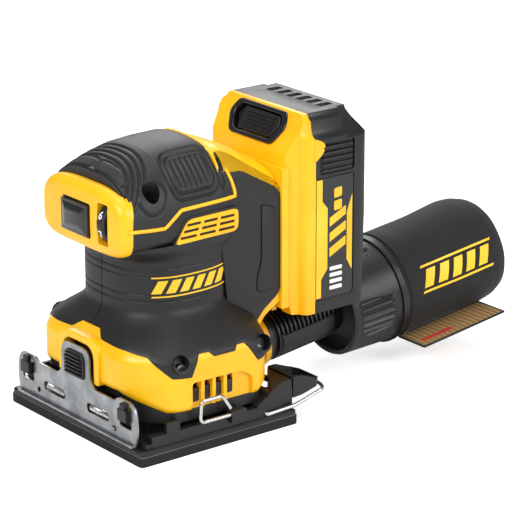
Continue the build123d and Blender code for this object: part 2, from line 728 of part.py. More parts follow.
with BuildPart() as control_module:
    with Locations((0, 8, 94)):
        Box(54, 42, 7, align=(Align.CENTER, Align.CENTER, Align.MIN))
    with Locations((0, 8, 96)):
        Box(51, 39, 6, align=(Align.CENTER, Align.CENTER, Align.MIN), mode=Mode.SUBTRACT)
    with Locations((0, 8, 96)):
        Box(51, 39, 3, align=(Align.CENTER, Align.CENTER, Align.MIN))
    with Locations(*[(x, 14, 98.9) for x in (-16, -4, 8)]):
        Cylinder(4.5, 10, align=(Align.CENTER, Align.CENTER, Align.MIN))
control_module.part.label = "control_module"
export_step(control_module.part, "parts/control_module.step")

# ======== battery foot of the tool ========

RAIL_BOTTOM, RAIL_END = 54.0, 120.0

with BuildPart() as battery_foot:
    with Locations((0, (FOOT_Y + 61.6) / 2, 88)):
        Box(64, 61.6 - FOOT_Y, 73)
    with BuildSketch(Plane.XY.offset(RAIL_BOTTOM)):
        with Locations((0, 62.6)):
            Rectangle(38, 3)
        with Locations((0, 65.6)):
            Rectangle(46, 3)
    extrude(amount=RAIL_END - RAIL_BOTTOM)
battery_foot.part.label = "battery_foot"
export_step(battery_foot.part, "parts/battery_foot.step")

with BuildPart() as tool_terminals:
    with Locations((0, FOOT_Y - WALL - 4.6, 84)):
        Box(36, 9.2, 30)
    with Locations(*[(x, 67.7, 60) for x in (-12, -6, 6, 12)]):
        Box(0.8, 1.2, 10)
tool_terminals.part.label = "tool_terminals"
export_step(tool_terminals.part, "parts/tool_terminals.step")

# ======== battery ========

CELL_R, CELL_LENGTH = 9.0, 65.0
CELL_ROWS = [(84.5, 58.9 + 19.4 * level) for level in range(5)]

with BuildPart() as battery_shell:
    with BuildSketch(Plane.YZ):
        with BuildLine():
            Polyline((62.4, BATTERY_BOTTOM), (74, BATTERY_BOTTOM), (74, BATTERY_TOP), (72, BATTERY_TOP),
                     (60.5, 132), (60.5, 124.6), (62.4, 124.6), close=True)
        make_face()
    extrude(amount=BATTERY_HALF - 1, both=True)
    fillet(battery_shell.edges().filter_by(Axis.Z).group_by(Axis.Y)[0], 2)
    with BuildSketch(Plane.XY.offset(BATTERY_BOTTOM - 1)):             # channel for the rails
        with Locations((0, 62.5)):
            Rectangle(39.2, 4)
        with Locations((0, 66.5)):
            Rectangle(47.2, 6)
    extrude(amount=RAIL_END + 0.6 - BATTERY_BOTTOM + 1, mode=Mode.SUBTRACT)
    with BuildSketch(Plane.XY.offset(BATTERY_BOTTOM + 2)):             # room for the first cells
        with Locations((0, 72.5)):
            Rectangle(68, 4)
    extrude(amount=96, mode=Mode.SUBTRACT)
    BUTTON_PLANE = Plane(origin=(0, 66.8, 141.6), x_dir=(1, 0, 0), z_dir=(0, -18, 11.5))
    with BuildSketch(BUTTON_PLANE.offset(1)):
        Trapezoid(41, 17.4, 103, align=(Align.CENTER, Align.CENTER))
    extrude(amount=-7.5, mode=Mode.SUBTRACT)
battery_shell.part.label = "battery_shell"
export_step(battery_shell.part, "parts/battery_shell.step")

with BuildPart() as battery_button:
    with BuildSketch(BUTTON_PLANE.offset(-3.4)):
        Trapezoid(39.6, 16, 103, align=(Align.CENTER, Align.CENTER))
    extrude(amount=4)
    with BuildSketch(BUTTON_PLANE.offset(-1.2)):
        RectangleRounded(22, 9, 3)
    extrude(amount=4, mode=Mode.SUBTRACT)
battery_button.part.label = "battery_button"
export_step(battery_button.part, "parts/battery_button.step")

with BuildPart() as button_spring:
    with BuildSketch(BUTTON_PLANE.offset(-6.4)):
        with Locations(*[(x, 0) for x in (-10, 10)]):
            Circle(2.5)
            Circle(1.9, mode=Mode.SUBTRACT)
    extrude(amount=2.9)
button_spring.part.label = "button_spring"
export_step(button_spring.part, "parts/button_spring.step")

with BuildPart() as battery_case:
    with BuildSketch(Plane.YZ):
        with BuildLine():
            Polyline((74, BATTERY_BOTTOM), (101.5, BATTERY_BOTTOM), (105.5, BATTERY_TOP), (74, BATTERY_TOP),
                     close=True)
        make_face()
    extrude(amount=BATTERY_HALF, both=True)
    fillet(battery_case.edges().filter_by(lambda e: e.center().Y > 100), 5)
    with BuildSketch(Plane.YZ):
        with BuildLine():
            Polyline((73, BATTERY_BOTTOM + 2), (98.8, BATTERY_BOTTOM + 2), (102.6, BATTERY_TOP - 3),
                     (73, BATTERY_TOP - 3), close=True)
        make_face()
    extrude(amount=BATTERY_HALF - 2.4, both=True, mode=Mode.SUBTRACT)
    with Locations(*[(x, 80, 147) for x in (-30, 30)]):
        Cylinder(2.6, 8, mode=Mode.SUBTRACT)
    with Locations(*[(side * BATTERY_HALF, 89, 127.5) for side in (-1, 1)]):
        Box(1.6, 22, 16, mode=Mode.SUBTRACT)
battery_case.part.label = "battery_case"
export_step(battery_case.part, "parts/battery_case.step")

with BuildPart() as battery_labels:
    for side in (-1, 1):
        with BuildSketch(Plane.YZ.offset(side * (BATTERY_HALF + 0.2) - 0.2)):
            with BuildLine():
                Polyline((76.5, 54), (96.5, 54), (99, 117), (76.5, 117), close=True)
            make_face()
        extrude(amount=0.4)
battery_labels.part.label = "battery_labels"
export_step(battery_labels.part, "parts/battery_labels.step")

with BuildPart() as battery_cells:
    with Locations(*[(0, y, z) for y, z in CELL_ROWS]):
        Cylinder(CELL_R, CELL_LENGTH, rotation=(0, 90, 0))
battery_cells.part.label = "battery_cells"
export_step(battery_cells.part, "parts/battery_cells.step")

with BuildPart() as cell_holder:
    for x in (-28, 28):
        with BuildSketch(Plane.YZ.offset(x - 3)):
            with BuildLine():
                Polyline((71.5, 48.5), (97.6, 48.5), (101.5, 142), (71.5, 142), close=True)
            make_face()
            with Locations(*CELL_ROWS):
                Circle(CELL_R, mode=Mode.SUBTRACT)
        extrude(amount=6)
cell_holder.part.label = "cell_holder"
export_step(cell_holder.part, "parts/cell_holder.step")

with BuildPart() as battery_contacts:
    with Locations(*[(x, 69.05, 60) for x in (-12, -6, 6, 12)]):
        Box(2.2, 0.9, 9)
battery_contacts.part.label = "battery_contacts"
export_step(battery_contacts.part, "parts/battery_contacts.step")

with BuildPart() as battery_screws:
    with Locations(*[(x, 80, 147.9) for x in (-30, 30)]):
        Cylinder(2.6, 3.8)
battery_screws.part.label = "battery_screws"
export_step(battery_screws.part, "parts/battery_screws.step")

# ======== dust outlet and bag ========

with BuildPart() as dust_port:
    with BuildSketch(DUST_AXIS.offset(-17)):
        Circle(12.4)
        Circle(9.4, mode=Mode.SUBTRACT)
    extrude(amount=22)
    with BuildSketch(DUST_AXIS.offset(1)):
        Circle(15)
        Circle(9.4, mode=Mode.SUBTRACT)
    extrude(amount=3.5)
    with BuildSketch(DUST_AXIS.offset(4)):
        Circle(11)
        Circle(9.4, mode=Mode.SUBTRACT)
    extrude(amount=16)
dust_port.part.label = "dust_port"
export_step(dust_port.part, "parts/dust_port.step")

with BuildPart() as dust_tube:
    with BuildSketch(DUST_AXIS.offset(5)):
        Circle(13.4)
        Circle(11.4, mode=Mode.SUBTRACT)
    extrude(amount=49)
    for ring in range(15):
        with BuildSketch(DUST_AXIS.offset(6 + ring * 3.1)):
            Circle(14.4)
            Circle(12, mode=Mode.SUBTRACT)
        extrude(amount=1.7)
dust_tube.part.label = "dust_tube"
export_step(dust_tube.part, "parts/dust_tube.step")

with BuildPart() as dust_cup:
    with BuildSketch(Plane(origin=DUST_AXIS.origin, x_dir=(1, 0, 0), z_dir=DUST_AXIS.y_dir)) as cup_side:
        with BuildLine():
            Polyline((11.4, -54), (14.6, -54), (21, -57), (23.4, -51.4), (25.8, -52.4), (28.6, -84),
                     (26.8, -84), (24.2, -60.4), (11.4, -58), close=True)
        make_face()
    revolve(axis=Axis(DUST_AXIS.origin, DUST_AXIS.z_dir))
dust_cup.part.label = "dust_cup"
export_step(dust_cup.part, "parts/dust_cup.step")

with BuildPart() as bag_ring:
    with BuildSketch(DUST_AXIS.offset(82)):
        Circle(29.8)
        Circle(28.62, mode=Mode.SUBTRACT)
    extrude(amount=2)
bag_ring.part.label = "bag_ring"
export_step(bag_ring.part, "parts/bag_ring.step")

with BuildPart() as bag_fabric:
    with BuildSketch(Plane(origin=DUST_AXIS.origin, x_dir=(1, 0, 0), z_dir=DUST_AXIS.y_dir)) as bag_side:
        with BuildLine():
            Polyline((27, -84), (28.3, -84), (29.6, -120), (29.8, -150), (28.6, -157), (24, -160.4),
                     (0, -161.5), (0, -160.1), (23.4, -159), (27.4, -155.8), (28.5, -150), (28.3, -120),
                     close=True)
        make_face()
    revolve(axis=Axis(DUST_AXIS.origin, DUST_AXIS.z_dir))
bag_fabric.part.label = "bag_fabric"
export_step(bag_fabric.part, "parts/bag_fabric.step")

with BuildPart() as bag_frame:                                        # wire frame that holds the bag open
    for distance in (112, 148):
        with BuildSketch(DUST_AXIS.offset(distance)):
            Circle(25.6)
            Circle(23.8, mode=Mode.SUBTRACT)
        extrude(amount=1.8)
    with BuildSketch(DUST_AXIS.offset(78)):
        with PolarLocations(24.7, 4):
            Circle(0.9)
    extrude(amount=71.8)
bag_frame.part.label = "bag_frame"
export_step(bag_frame.part, "parts/bag_frame.step")

TAG_MIDDLE = DUST_AXIS.origin + DUST_AXIS.z_dir * 113 + DUST_AXIS.y_dir * 22.3 + Vector(29.9, 0, 0)
TAG_PLANE = Plane(origin=TAG_MIDDLE, x_dir=DUST_AXIS.z_dir, z_dir=DUST_AXIS.y_dir)

with BuildPart() as bag_tag:
    with BuildSketch(TAG_PLANE):
        Rectangle(57, 20.4)
    extrude(amount=0.8)
bag_tag.part.label = "bag_tag"
export_step(bag_tag.part, "parts/bag_tag.step")

with BuildPart() as skirt_screws:
    for side in (-1, 1):
        with Locations(*[(side * 49.4, y, SCREW_Z) for y in SCREW_Y]):
            Cylinder(SCREW_R, 3.6, rotation=(0, 90, 0))
skirt_screws.part.label = "skirt_screws"
export_step(skirt_screws.part, "parts/skirt_screws.step")
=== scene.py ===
import json
import math

import bpy
from mathutils import Matrix, Vector


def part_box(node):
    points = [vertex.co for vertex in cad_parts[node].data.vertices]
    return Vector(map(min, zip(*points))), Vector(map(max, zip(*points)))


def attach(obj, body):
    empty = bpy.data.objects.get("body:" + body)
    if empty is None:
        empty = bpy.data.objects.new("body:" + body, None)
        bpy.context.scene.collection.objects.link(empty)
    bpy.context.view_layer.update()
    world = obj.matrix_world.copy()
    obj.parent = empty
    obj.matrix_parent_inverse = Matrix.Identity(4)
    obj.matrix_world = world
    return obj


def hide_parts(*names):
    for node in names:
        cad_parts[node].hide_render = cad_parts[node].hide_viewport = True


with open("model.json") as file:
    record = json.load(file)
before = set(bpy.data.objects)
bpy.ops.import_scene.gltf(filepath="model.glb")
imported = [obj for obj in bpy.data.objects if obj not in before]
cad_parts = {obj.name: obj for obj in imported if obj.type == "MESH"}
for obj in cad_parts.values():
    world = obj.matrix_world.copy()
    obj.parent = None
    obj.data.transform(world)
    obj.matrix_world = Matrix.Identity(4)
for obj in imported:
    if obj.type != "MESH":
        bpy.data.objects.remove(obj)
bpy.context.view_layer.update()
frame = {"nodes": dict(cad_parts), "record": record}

# Cordless quarter-sheet palm sander. Sizes below are in millimetres and become metres in each piece.
MM = 0.001
AXES = {"X": Vector((1, 0, 0)), "Y": Vector((0, 1, 0)), "Z": Vector((0, 0, 1))}


# ======== small helpers ========

def smooth(low, high, value):
    """0 below low, 1 above high, and an even S between."""
    share = min(1, max(0, (value - low) / (high - low)))
    return share * share * (3 - 2 * share)


def along(points, value):
    """The height of the broken line through points (x, height) at value, with soft corners."""
    if value <= points[0][0]:
        return points[0][1]
    for (x0, y0), (x1, y1) in zip(points, points[1:]):
        if value <= x1:
            return y0 + (y1 - y0) * smooth(x0, x1, value) if y0 != y1 else y0
    return points[-1][1]


def straight(points, value):
    """The height of the broken line through points (x, height) at value."""
    if value <= points[0][0]:
        return points[0][1]
    for (x0, y0), (x1, y1) in zip(points, points[1:]):
        if value <= x1:
            return y0 + (y1 - y0) * (value - x0) / (x1 - x0)
    return points[-1][1]


def only(piece):
    """Leaves this piece alone selected and active."""
    bpy.ops.object.select_all(action="DESELECT")
    piece.select_set(True)
    bpy.context.view_layer.objects.active = piece


def modify(piece, kind, **settings):
    """Adds a modifier and applies it."""
    only(piece)
    modifier = piece.modifiers.new(kind.lower(), kind)
    for key, value in settings.items():
        setattr(modifier, key, value)
    bpy.ops.object.modifier_apply(modifier=modifier.name)


def tidy_mesh(piece, distance=0.004):
    """Joins points closer than distance and turns the faces outwards."""
    only(piece)
    bpy.ops.object.mode_set(mode="EDIT")
    bpy.ops.mesh.select_all(action="SELECT")
    bpy.ops.mesh.remove_doubles(threshold=distance * MM)
    bpy.ops.mesh.normals_make_consistent(inside=False)
    bpy.ops.object.mode_set(mode="OBJECT")


def soften(piece, radius, segments=3, angle=32):
    """Rounds the sharp edges of a moulded or pressed piece."""
    modify(piece, "BEVEL", width=radius * MM, segments=segments, limit_method="ANGLE",
           angle_limit=math.radians(angle), use_clamp_overlap=True)


def shade(piece, angle=40):
    only(piece)
    bpy.ops.object.shade_smooth_by_angle(angle=math.radians(angle))


def settle(piece):
    """Puts the piece's place into its mesh."""
    only(piece)
    bpy.ops.object.transform_apply(location=True, rotation=True, scale=True)


def wrap(name, columns, rows, place, closed=True):
    """A grid laid over the surface place(u, v), with u and v from 0 to 1, in millimetres."""
    bpy.ops.object.select_all(action="DESELECT")
    bpy.ops.mesh.primitive_grid_add(x_subdivisions=columns, y_subdivisions=rows, size=1)
    piece = bpy.context.object
    piece.name = name
    for vertex in piece.data.vertices:
        vertex.co = Vector(place(vertex.co.x + 0.5, vertex.co.y + 0.5)) * MM
    if closed:
        tidy_mesh(piece)
    return piece


def shell(name, columns, rows, outer, inner):
    """A closed wall round the tool between the surfaces outer(u, v) and inner(u, v)."""
    stations = 2 * rows + 2

    def place(u, v):
        station = round(v * stations)
        if station <= rows:
            return outer(u, station / rows)
        if station < stations:
            return inner(u, (stations - 1 - station) / rows)
        return outer(u, 0)

    return wrap(name, columns, stations, place)


def capped(name, columns, rows, place):
    """A grid closed round u, with its two open ends filled."""
    piece = wrap(name, columns, rows, place)
    only(piece)
    bpy.ops.object.mode_set(mode="EDIT")
    bpy.ops.mesh.select_all(action="SELECT")
    bpy.ops.mesh.region_to_loop()
    bpy.ops.mesh.fill_holes(sides=0)
    bpy.ops.object.mode_set(mode="OBJECT")
    tidy_mesh(piece)
    return piece


def plate(name, points, start, depth, axis="X"):
    """A flat outline of points in the two axes across the given one, extruded from start by depth."""
    bpy.ops.object.select_all(action="DESELECT")
    bpy.ops.mesh.primitive_circle_add(vertices=len(points), radius=1, fill_type="NGON")
    piece = bpy.context.object
    piece.name = name
    for vertex, (a, b) in zip(piece.data.vertices, points):
        spot = {"X": (start, a, b), "Y": (a, start, b), "Z": (a, b, start)}[axis]
        vertex.co = Vector(spot) * MM
    bpy.ops.object.mode_set(mode="EDIT")
    bpy.ops.mesh.select_all(action="SELECT")
    bpy.ops.mesh.extrude_region_move(
        TRANSFORM_OT_translate={"value": AXES[axis] * depth * MM})
    bpy.ops.mesh.select_all(action="SELECT")
    bpy.ops.mesh.normals_make_consistent(inside=False)
    bpy.ops.object.mode_set(mode="OBJECT")
    return piece


def block(name, low, high, radius=0, segments=3):
    """A block between two corners with rounded edges."""
    bpy.ops.object.select_all(action="DESELECT")
    middle = [(a + b) / 2 * MM for a, b in zip(low, high)]
    bpy.ops.mesh.primitive_cube_add(size=1, location=middle)
    piece = bpy.context.object
    piece.name = name
    piece.scale = [(b - a) * MM for a, b in zip(low, high)]
    settle(piece)
    if radius:
        soften(piece, radius, segments)
    return piece


def peg(name, start, end, radius, flare=1, sides=48):
    """A round bar from start to end, flare times as wide at its end."""
    first = Vector(start) * MM
    last = Vector(end) * MM
    bpy.ops.object.select_all(action="DESELECT")
    bpy.ops.mesh.primitive_cone_add(vertices=sides, radius1=radius * MM, radius2=radius * flare * MM,
                                    depth=(last - first).length, location=(first + last) / 2)
    piece = bpy.context.object
    piece.name = name
    piece.rotation_mode = "QUATERNION"
    piece.rotation_quaternion = (last - first).to_track_quat("Z", "Y")
    settle(piece)
    return piece


def rod(name, points, radius, ring=False, resolution=6):
    """A round wire along the points."""
    curve = bpy.data.curves.new(name, "CURVE")
    curve.dimensions = "3D"
    curve.bevel_depth = radius * MM
    curve.bevel_resolution = resolution
    curve.use_fill_caps = not ring
    line = curve.splines.new("POLY")
    line.points.add(len(points) - 1)
    for point, spot in zip(line.points, points):
        point.co = (*(Vector(spot) * MM), 1)
    line.use_cyclic_u = ring
    piece = bpy.data.objects.new(name, curve)
    bpy.context.scene.collection.objects.link(piece)
    only(piece)
    bpy.ops.object.convert(target="MESH")
    piece = bpy.context.object
    tidy_mesh(piece, 0.001)
    return piece


def fillet_path(points, radius, steps=6):
    """The points with each inner corner rounded."""
    route = [Vector(points[0])]
    for before, corner, after in zip(points, points[1:], points[2:]):
        corner = Vector(corner)
        back = Vector(before) - corner
        ahead = Vector(after) - corner
        reach = min(radius, back.length * 0.45, ahead.length * 0.45)
        first = corner + back.normalized() * reach
        last = corner + ahead.normalized() * reach
        for step in range(steps + 1):
            share = step / steps
            route.append(first * (1 - share) ** 2 + corner * 2 * share * (1 - share) + last * share ** 2)
    route.append(Vector(points[-1]))
    return route


def round_outline(points, radius, steps=5):
    """A closed outline of (a, b) points with its corners rounded by radius, or by radii in turn."""
    radii = radius if isinstance(radius, (list, tuple)) else [radius] * len(points)
    outline = []
    for index, corner in enumerate(points):
        before = Vector(points[index - 1])
        after = Vector(points[(index + 1) % len(points)])
        corner = Vector(corner)
        if radii[index] <= 0:
            outline.append(tuple(corner))
            continue
        back = before - corner
        ahead = after - corner
        reach = min(radii[index], back.length * 0.48, ahead.length * 0.48)
        first = corner + back.normalized() * reach
        last = corner + ahead.normalized() * reach
        for step in range(steps + 1):
            share = step / steps
            spot = first * (1 - share) ** 2 + corner * 2 * share * (1 - share) + last * share ** 2
            outline.append(tuple(spot))
    return outline


def combine(piece, operation, tool):
    modify(piece, "BOOLEAN", operation=operation, solver="EXACT", object=tool)
    bpy.data.objects.remove(tool)


def cut(piece, *tools):
    """Cuts the tools out of the piece."""
    for tool in tools:
        combine(piece, "DIFFERENCE", tool)


def together(name, pieces):
    """Joins separate solids into one object."""
    bpy.ops.object.select_all(action="DESELECT")
    for piece in pieces:
        piece.select_set(True)
    bpy.context.view_layer.objects.active = pieces[0]
    bpy.ops.object.join()
    pieces[0].name = name
    return pieces[0]


def twin(piece, name):
    """The mirror image of a piece on the other side of the tool."""
    copy = piece.copy()
    copy.data = piece.data.copy()
    copy.name = name
    bpy.context.scene.collection.objects.link(copy)
    copy.data.transform(Matrix.Scale(-1, 4, AXES["X"]))
    copy.data.flip_normals()
    return copy


def both_sides(name, piece):
    """The piece and its mirror image as one object."""
    return together(name, [piece, twin(piece, name + "_twin")])


# ======== finishes ========

def colour(code):
    """An sRGB hex value as linear red, green, blue and alpha."""
    parts = [int(code[i:i + 2], 16) / 255 for i in (1, 3, 5)]
    return (*[p / 12.92 if p <= 0.04045 else ((p + 0.055) / 1.055) ** 2.4 for p in parts], 1)


def add(tree, kind, settings=None, links=None):
    """Adds a node with its settings and the sockets that feed it."""
    node = tree.nodes.new(kind)
    for key, value in (settings or {}).items():
        if isinstance(key, int) or key in node.inputs:
            node.inputs[key].default_value = value
        else:
            setattr(node, key, value)
    for key, socket in (links or {}).items():
        tree.links.new(socket, node.inputs[key])
    return node


def new_finish(name, **settings):
    """An empty material, its tree, its shader and its object coordinates."""
    material = bpy.data.materials.new(name)
    material.use_nodes = True
    tree = material.node_tree
    shader = tree.nodes["Principled BSDF"]
    for key, value in settings.items():
        shader.inputs[key.replace("_", " ")].default_value = value
    place = add(tree, "ShaderNodeTexCoord")
    return material, tree, shader, place


def spread(tree, source, low, high):
    """Two colours mixed by a pattern, dark at low and light at high positions of the ramp."""
    ramp = add(tree, "ShaderNodeValToRGB", {}, {"Fac": source})
    ramp.color_ramp.elements[0].position = low[0]
    ramp.color_ramp.elements[0].color = colour(low[1])
    ramp.color_ramp.elements[1].position = high[0]
    ramp.color_ramp.elements[1].color = colour(high[1])
    return ramp.outputs["Color"]


def moulded(name, dark, light, rough, grain, depth, **settings):
    """A moulded plastic: a slight drift of colour, uneven gloss and an etched grain of that size in mm."""
    material, tree, shader, place = new_finish(name, **settings)
    cloud = add(tree, "ShaderNodeTexNoise", {"Scale": 1 / (28 * MM), "Detail": 3},
                {"Vector": place.outputs["Object"]})
    tree.links.new(spread(tree, cloud.outputs["Fac"], (0.3, dark), (0.7, light)),
                   shader.inputs["Base Color"])
    fine = add(tree, "ShaderNodeTexNoise", {"Scale": 1 / (grain * MM), "Detail": 2},
               {"Vector": place.outputs["Object"]})
    gloss = add(tree, "ShaderNodeMapRange", {"To Min": rough - 0.05, "To Max": rough + 0.07},
                {"Value": cloud.outputs["Fac"]})
    tree.links.new(gloss.outputs["Result"], shader.inputs["Roughness"])
    bump = add(tree, "ShaderNodeBump", {"Strength": 0.5, "Distance": depth * MM},
               {"Height": fine.outputs["Fac"]})
    tree.links.new(bump.outputs["Normal"], shader.inputs["Normal"])
    return material


def metal(name, dark, light, rough, stretch, grain, **settings):
    """A metal whose surface lines run along the axis with the smallest stretch."""
    material, tree, shader, place = new_finish(name, Metallic=1, **settings)
    turned = add(tree, "ShaderNodeMapping", {"Scale": stretch}, {"Vector": place.outputs["Object"]})
    lines = add(tree, "ShaderNodeTexNoise", {"Scale": 1 / (grain * MM), "Detail": 3},
                {"Vector": turned.outputs["Vector"]})
    cloud = add(tree, "ShaderNodeTexNoise", {"Scale": 1 / (9 * MM), "Detail": 4},
                {"Vector": place.outputs["Object"]})
    tree.links.new(spread(tree, cloud.outputs["Fac"], (0.35, dark), (0.65, light)),
                   shader.inputs["Base Color"])
    gloss = add(tree, "ShaderNodeMapRange", {"To Min": rough - 0.08, "To Max": rough + 0.1},
                {"Value": lines.outputs["Fac"]})
    tree.links.new(gloss.outputs["Result"], shader.inputs["Roughness"])
    bump = add(tree, "ShaderNodeBump", {"Strength": 0.35, "Distance": 0.05 * MM},
               {"Height": lines.outputs["Fac"]})
    tree.links.new(bump.outputs["Normal"], shader.inputs["Normal"])
    return material


# glass-filled nylon, spark-etched mould: satin yellow with a very fine grain
yellow_nylon = moulded("yellow_glass_filled_nylon", "#FDB700", "#FFC60F", 0.34, 0.5, 0.05)
# thermoplastic rubber moulded over the nylon: matt, near black
black_rubber = moulded("black_moulded_rubber", "#0F0F10", "#18181A", 0.5, 0.4, 0.06)
# black nylon of the dust parts and clamp levers: a little glossier than the rubber
black_nylon = moulded("black_moulded_nylon", "#0E0E0F", "#161618", 0.4, 0.6, 0.05)
# polished ABS of the switch and the release button
gloss_black = moulded("polished_black_abs", "#0B0B0D", "#141417", 0.16, 2, 0.01, Coat_Weight=0.3)
# textured ABS of the battery case
case_abs = moulded("textured_black_abs", "#0D0D0E", "#151516", 0.4, 0.7, 0.08)
# painted shade: dark orange for a sheet deep in the vents that paints their shaded depth, tinted as light
# through the yellow moulding
vent_shadow = moulded("painted_vent_shade_orange", "#5A1600", "#8A2A00", 0.6, 0.8, 0.1)
# printed ink on labels and dials
white_ink = moulded("white_printing_ink", "#DCDCDC", "#F4F4F4", 0.4, 0.6, 0.02)
yellow_ink = moulded("yellow_printing_ink", "#F2B705", "#FFD22E", 0.38, 0.6, 0.02)
label_film = moulded("black_label_film", "#1B1B1C", "#242425", 0.22, 3, 0.01)
# zinc-plated pressed steel of the paper clamps: grey, softly mottled
clamp_steel = metal("zinc_plated_pressed_steel", "#8A8D90", "#AEB1B4", 0.38, (1, 1, 1), 1.2)
# nickel-plated spring wire: bright and smooth
spring_steel = metal("nickel_plated_spring_wire", "#BDBDBB", "#DEDEDC", 0.2, (1, 1, 1), 2.5)
shaft_steel = metal("ground_shaft_steel", "#8C8E92", "#A9ABAE", 0.28, (1, 1, 0.05), 0.4)
copper = metal("enamelled_copper_wire", "#8E4A20", "#B8642E", 0.3, (1, 1, 8), 1)
lamination = metal("stacked_electrical_steel", "#5C5F63", "#74777B", 0.45, (0.05, 0.05, 1), 0.5)
zinc = metal("die_cast_zinc", "#8A8C8E", "#A2A4A5", 0.5, (1, 1, 1), 0.7)
brass = metal("stamped_brass", "#A9822F", "#C9A04A", 0.3, (1, 0.1, 1), 0.6)
# shrink sleeve and circuit board inside the tool
cell_sleeve = moulded("blue_shrink_sleeve", "#1E4E86", "#2A63A3", 0.3, 1.5, 0.02)
board = moulded("green_circuit_board", "#0F4A2A", "#17603A", 0.35, 0.8, 0.03)


def foam_finish():
    """Closed-cell rubber foam with a hook face: dull black, full of tiny pores."""
    material, tree, shader, place = new_finish("closed_cell_rubber_foam", Roughness=0.85)
    cells = add(tree, "ShaderNodeTexVoronoi", {"Scale": 1 / (0.9 * MM)},
                {"Vector": place.outputs["Object"]})
    tree.links.new(spread(tree, cells.outputs["Distance"], (0, "#0D0D0D"), (0.6, "#1A1A1B")),
                   shader.inputs["Base Color"])
    bump = add(tree, "ShaderNodeBump", {"Strength": 0.6, "Distance": 0.2 * MM},
               {"Height": cells.outputs["Distance"]})
    tree.links.new(bump.outputs["Normal"], shader.inputs["Normal"])
    return material


def cloth_finish():
    """Woven black polyester: crossed threads 0.7 mm apart."""
    material, tree, shader, place = new_finish("black_woven_polyester", Roughness=0.8,
                                               Sheen_Weight=0.08, Sheen_Roughness=0.5)
    thread = 0.7 * MM
    heights = []
    for direction in ("X", "Y"):
        wave = add(tree, "ShaderNodeTexWave",
                   {"Scale": 1 / (thread * 6.4), "bands_direction": direction, "Distortion": 0.6},
                   {"Vector": place.outputs["UV"]})
        heights.append(wave.outputs["Fac"])
    weave = add(tree, "ShaderNodeMath", {"operation": "MULTIPLY"}, {0: heights[0], 1: heights[1]})
    cloud = add(tree, "ShaderNodeTexNoise", {"Scale": 1 / (14 * MM), "Detail": 4},
                {"Vector": place.outputs["Object"]})
    mixed = add(tree, "ShaderNodeMath", {"operation": "MULTIPLY_ADD", 1: 0.2},
                {0: weave.outputs["Value"], 2: cloud.outputs["Fac"]})
    tree.links.new(spread(tree, mixed.outputs["Value"], (0.3, "#080808"), (1, "#121213")),
                   shader.inputs["Base Color"])
    bump = add(tree, "ShaderNodeBump", {"Strength": 0.35, "Distance": 0.12 * MM},
               {"Height": weave.outputs["Value"]})
    tree.links.new(bump.outputs["Normal"], shader.inputs["Normal"])
    return material


def card_finish():
    """Kraft card with its fluted lines 1.6 mm apart."""
    material, tree, shader, place = new_finish("kraft_card", Roughness=0.8)
    flutes = add(tree, "ShaderNodeTexWave", {"Scale": 1 / (1.6 * MM * 6.4), "bands_direction": "Y",
                                             "Distortion": 1.5},
                 {"Vector": place.outputs["Object"]})
    tree.links.new(spread(tree, flutes.outputs["Fac"], (0.1, "#7A5C36"), (0.8, "#9C7B4C")),
                   shader.inputs["Base Color"])
    bump = add(tree, "ShaderNodeBump", {"Strength": 0.4, "Distance": 0.2 * MM},
               {"Height": flutes.outputs["Fac"]})
    tree.links.new(bump.outputs["Normal"], shader.inputs["Normal"])
    return material


foam = foam_finish()
bag_cloth = cloth_finish()
kraft_card = card_finish()
# painted highlight: light grey for a thin sheet at the foam seam that paints the bright line on the platen's
# lower edge
seam_highlight_grey = moulded("painted_seam_highlight", "#5A5A5A", "#747474", 0.5, 0.8, 0.02)
red_ink = moulded("red_printing_ink", "#A92A1C", "#BF3A28", 0.6, 0.8, 0.03)


def finish_with(piece, material):
    piece.data.materials.clear()
    piece.data.materials.append(material)


def fit(piece, body, slot, material, *nodes, angle=40):
    """Gives a finished piece its material, its body and the CAD nodes that it stands for."""
    finish_with(piece, material)
    shade(piece, angle)
    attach(piece, body)
    if nodes:
        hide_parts(*nodes)
    return piece


# ======== body of the tool ========

MIDDLE_Y = 2
SKIRT_FACES = [(0, 53), (180, 53), (-90, 45), (90, 44), (-46.5, 55.4),
               (226.5, 55.4), (55.7, 53.8), (124.3, 53.8)]      # bearing of each wall, its distance
SKIRT_CRISP = 22
SHOULDER_LOW, SHOULDER_HIGH = 44.5, 66
FLARE_LOW, FLARE_HIGH = 88, 98


def skirt_radius(bearing):
    """Distance from the middle to the eight-sided skirt."""
    total = 0
    for wall, distance in SKIRT_FACES:
        reach = math.cos(bearing - math.radians(wall)) / distance
        if reach > 0:
            total += reach ** SKIRT_CRISP
    return total ** (-1 / SKIRT_CRISP)


def oval_radius(bearing, half_width, front, rear, power):
    across = abs(math.cos(bearing)) / half_width
    lengthwise = abs(math.sin(bearing)) / (rear if math.sin(bearing) > 0 else front)
    return (across ** power + lengthwise ** power) ** (-1 / power)


def body_radius(bearing, height):
    """The housing's outer surface: skirt, shoulder, neck and the flare under the head."""
    neck = oval_radius(bearing, 33, 31, 34, 2.5)
    share = smooth(SHOULDER_LOW, SHOULDER_HIGH, height)
    radius = skirt_radius(bearing) * (1 - share) + neck * share
    head = oval_radius(bearing, 35, 37, 31, 4)
    flare = smooth(FLARE_LOW, FLARE_HIGH, height) ** 1.5
    return radius * (1 - flare) + head * flare


def body_point(bearing, height, proud=0):
    radius = body_radius(bearing, height) + proud
    return (radius * math.cos(bearing), MIDDLE_Y + radius * math.sin(bearing), height)


def fold(bearing):
    """The bearing in degrees on the right half, from -90 at the front to 90 at the rear."""
    return math.degrees(math.asin(max(-1, min(1, math.sin(bearing)))))


SCREW_PLACES = (-20.2, 29.7)       # the skirt's screws on each side, along y
ARCH = [(-13, 20), (-13, 47.8), (13, 47.8), (13, 20)]
ARCH_RADII = [0, 7, 7, 0]
SKIRT_HEM = [(-56, 30), (-30, 20.5), (26, 20.5), (34, 25), (60, 26)]
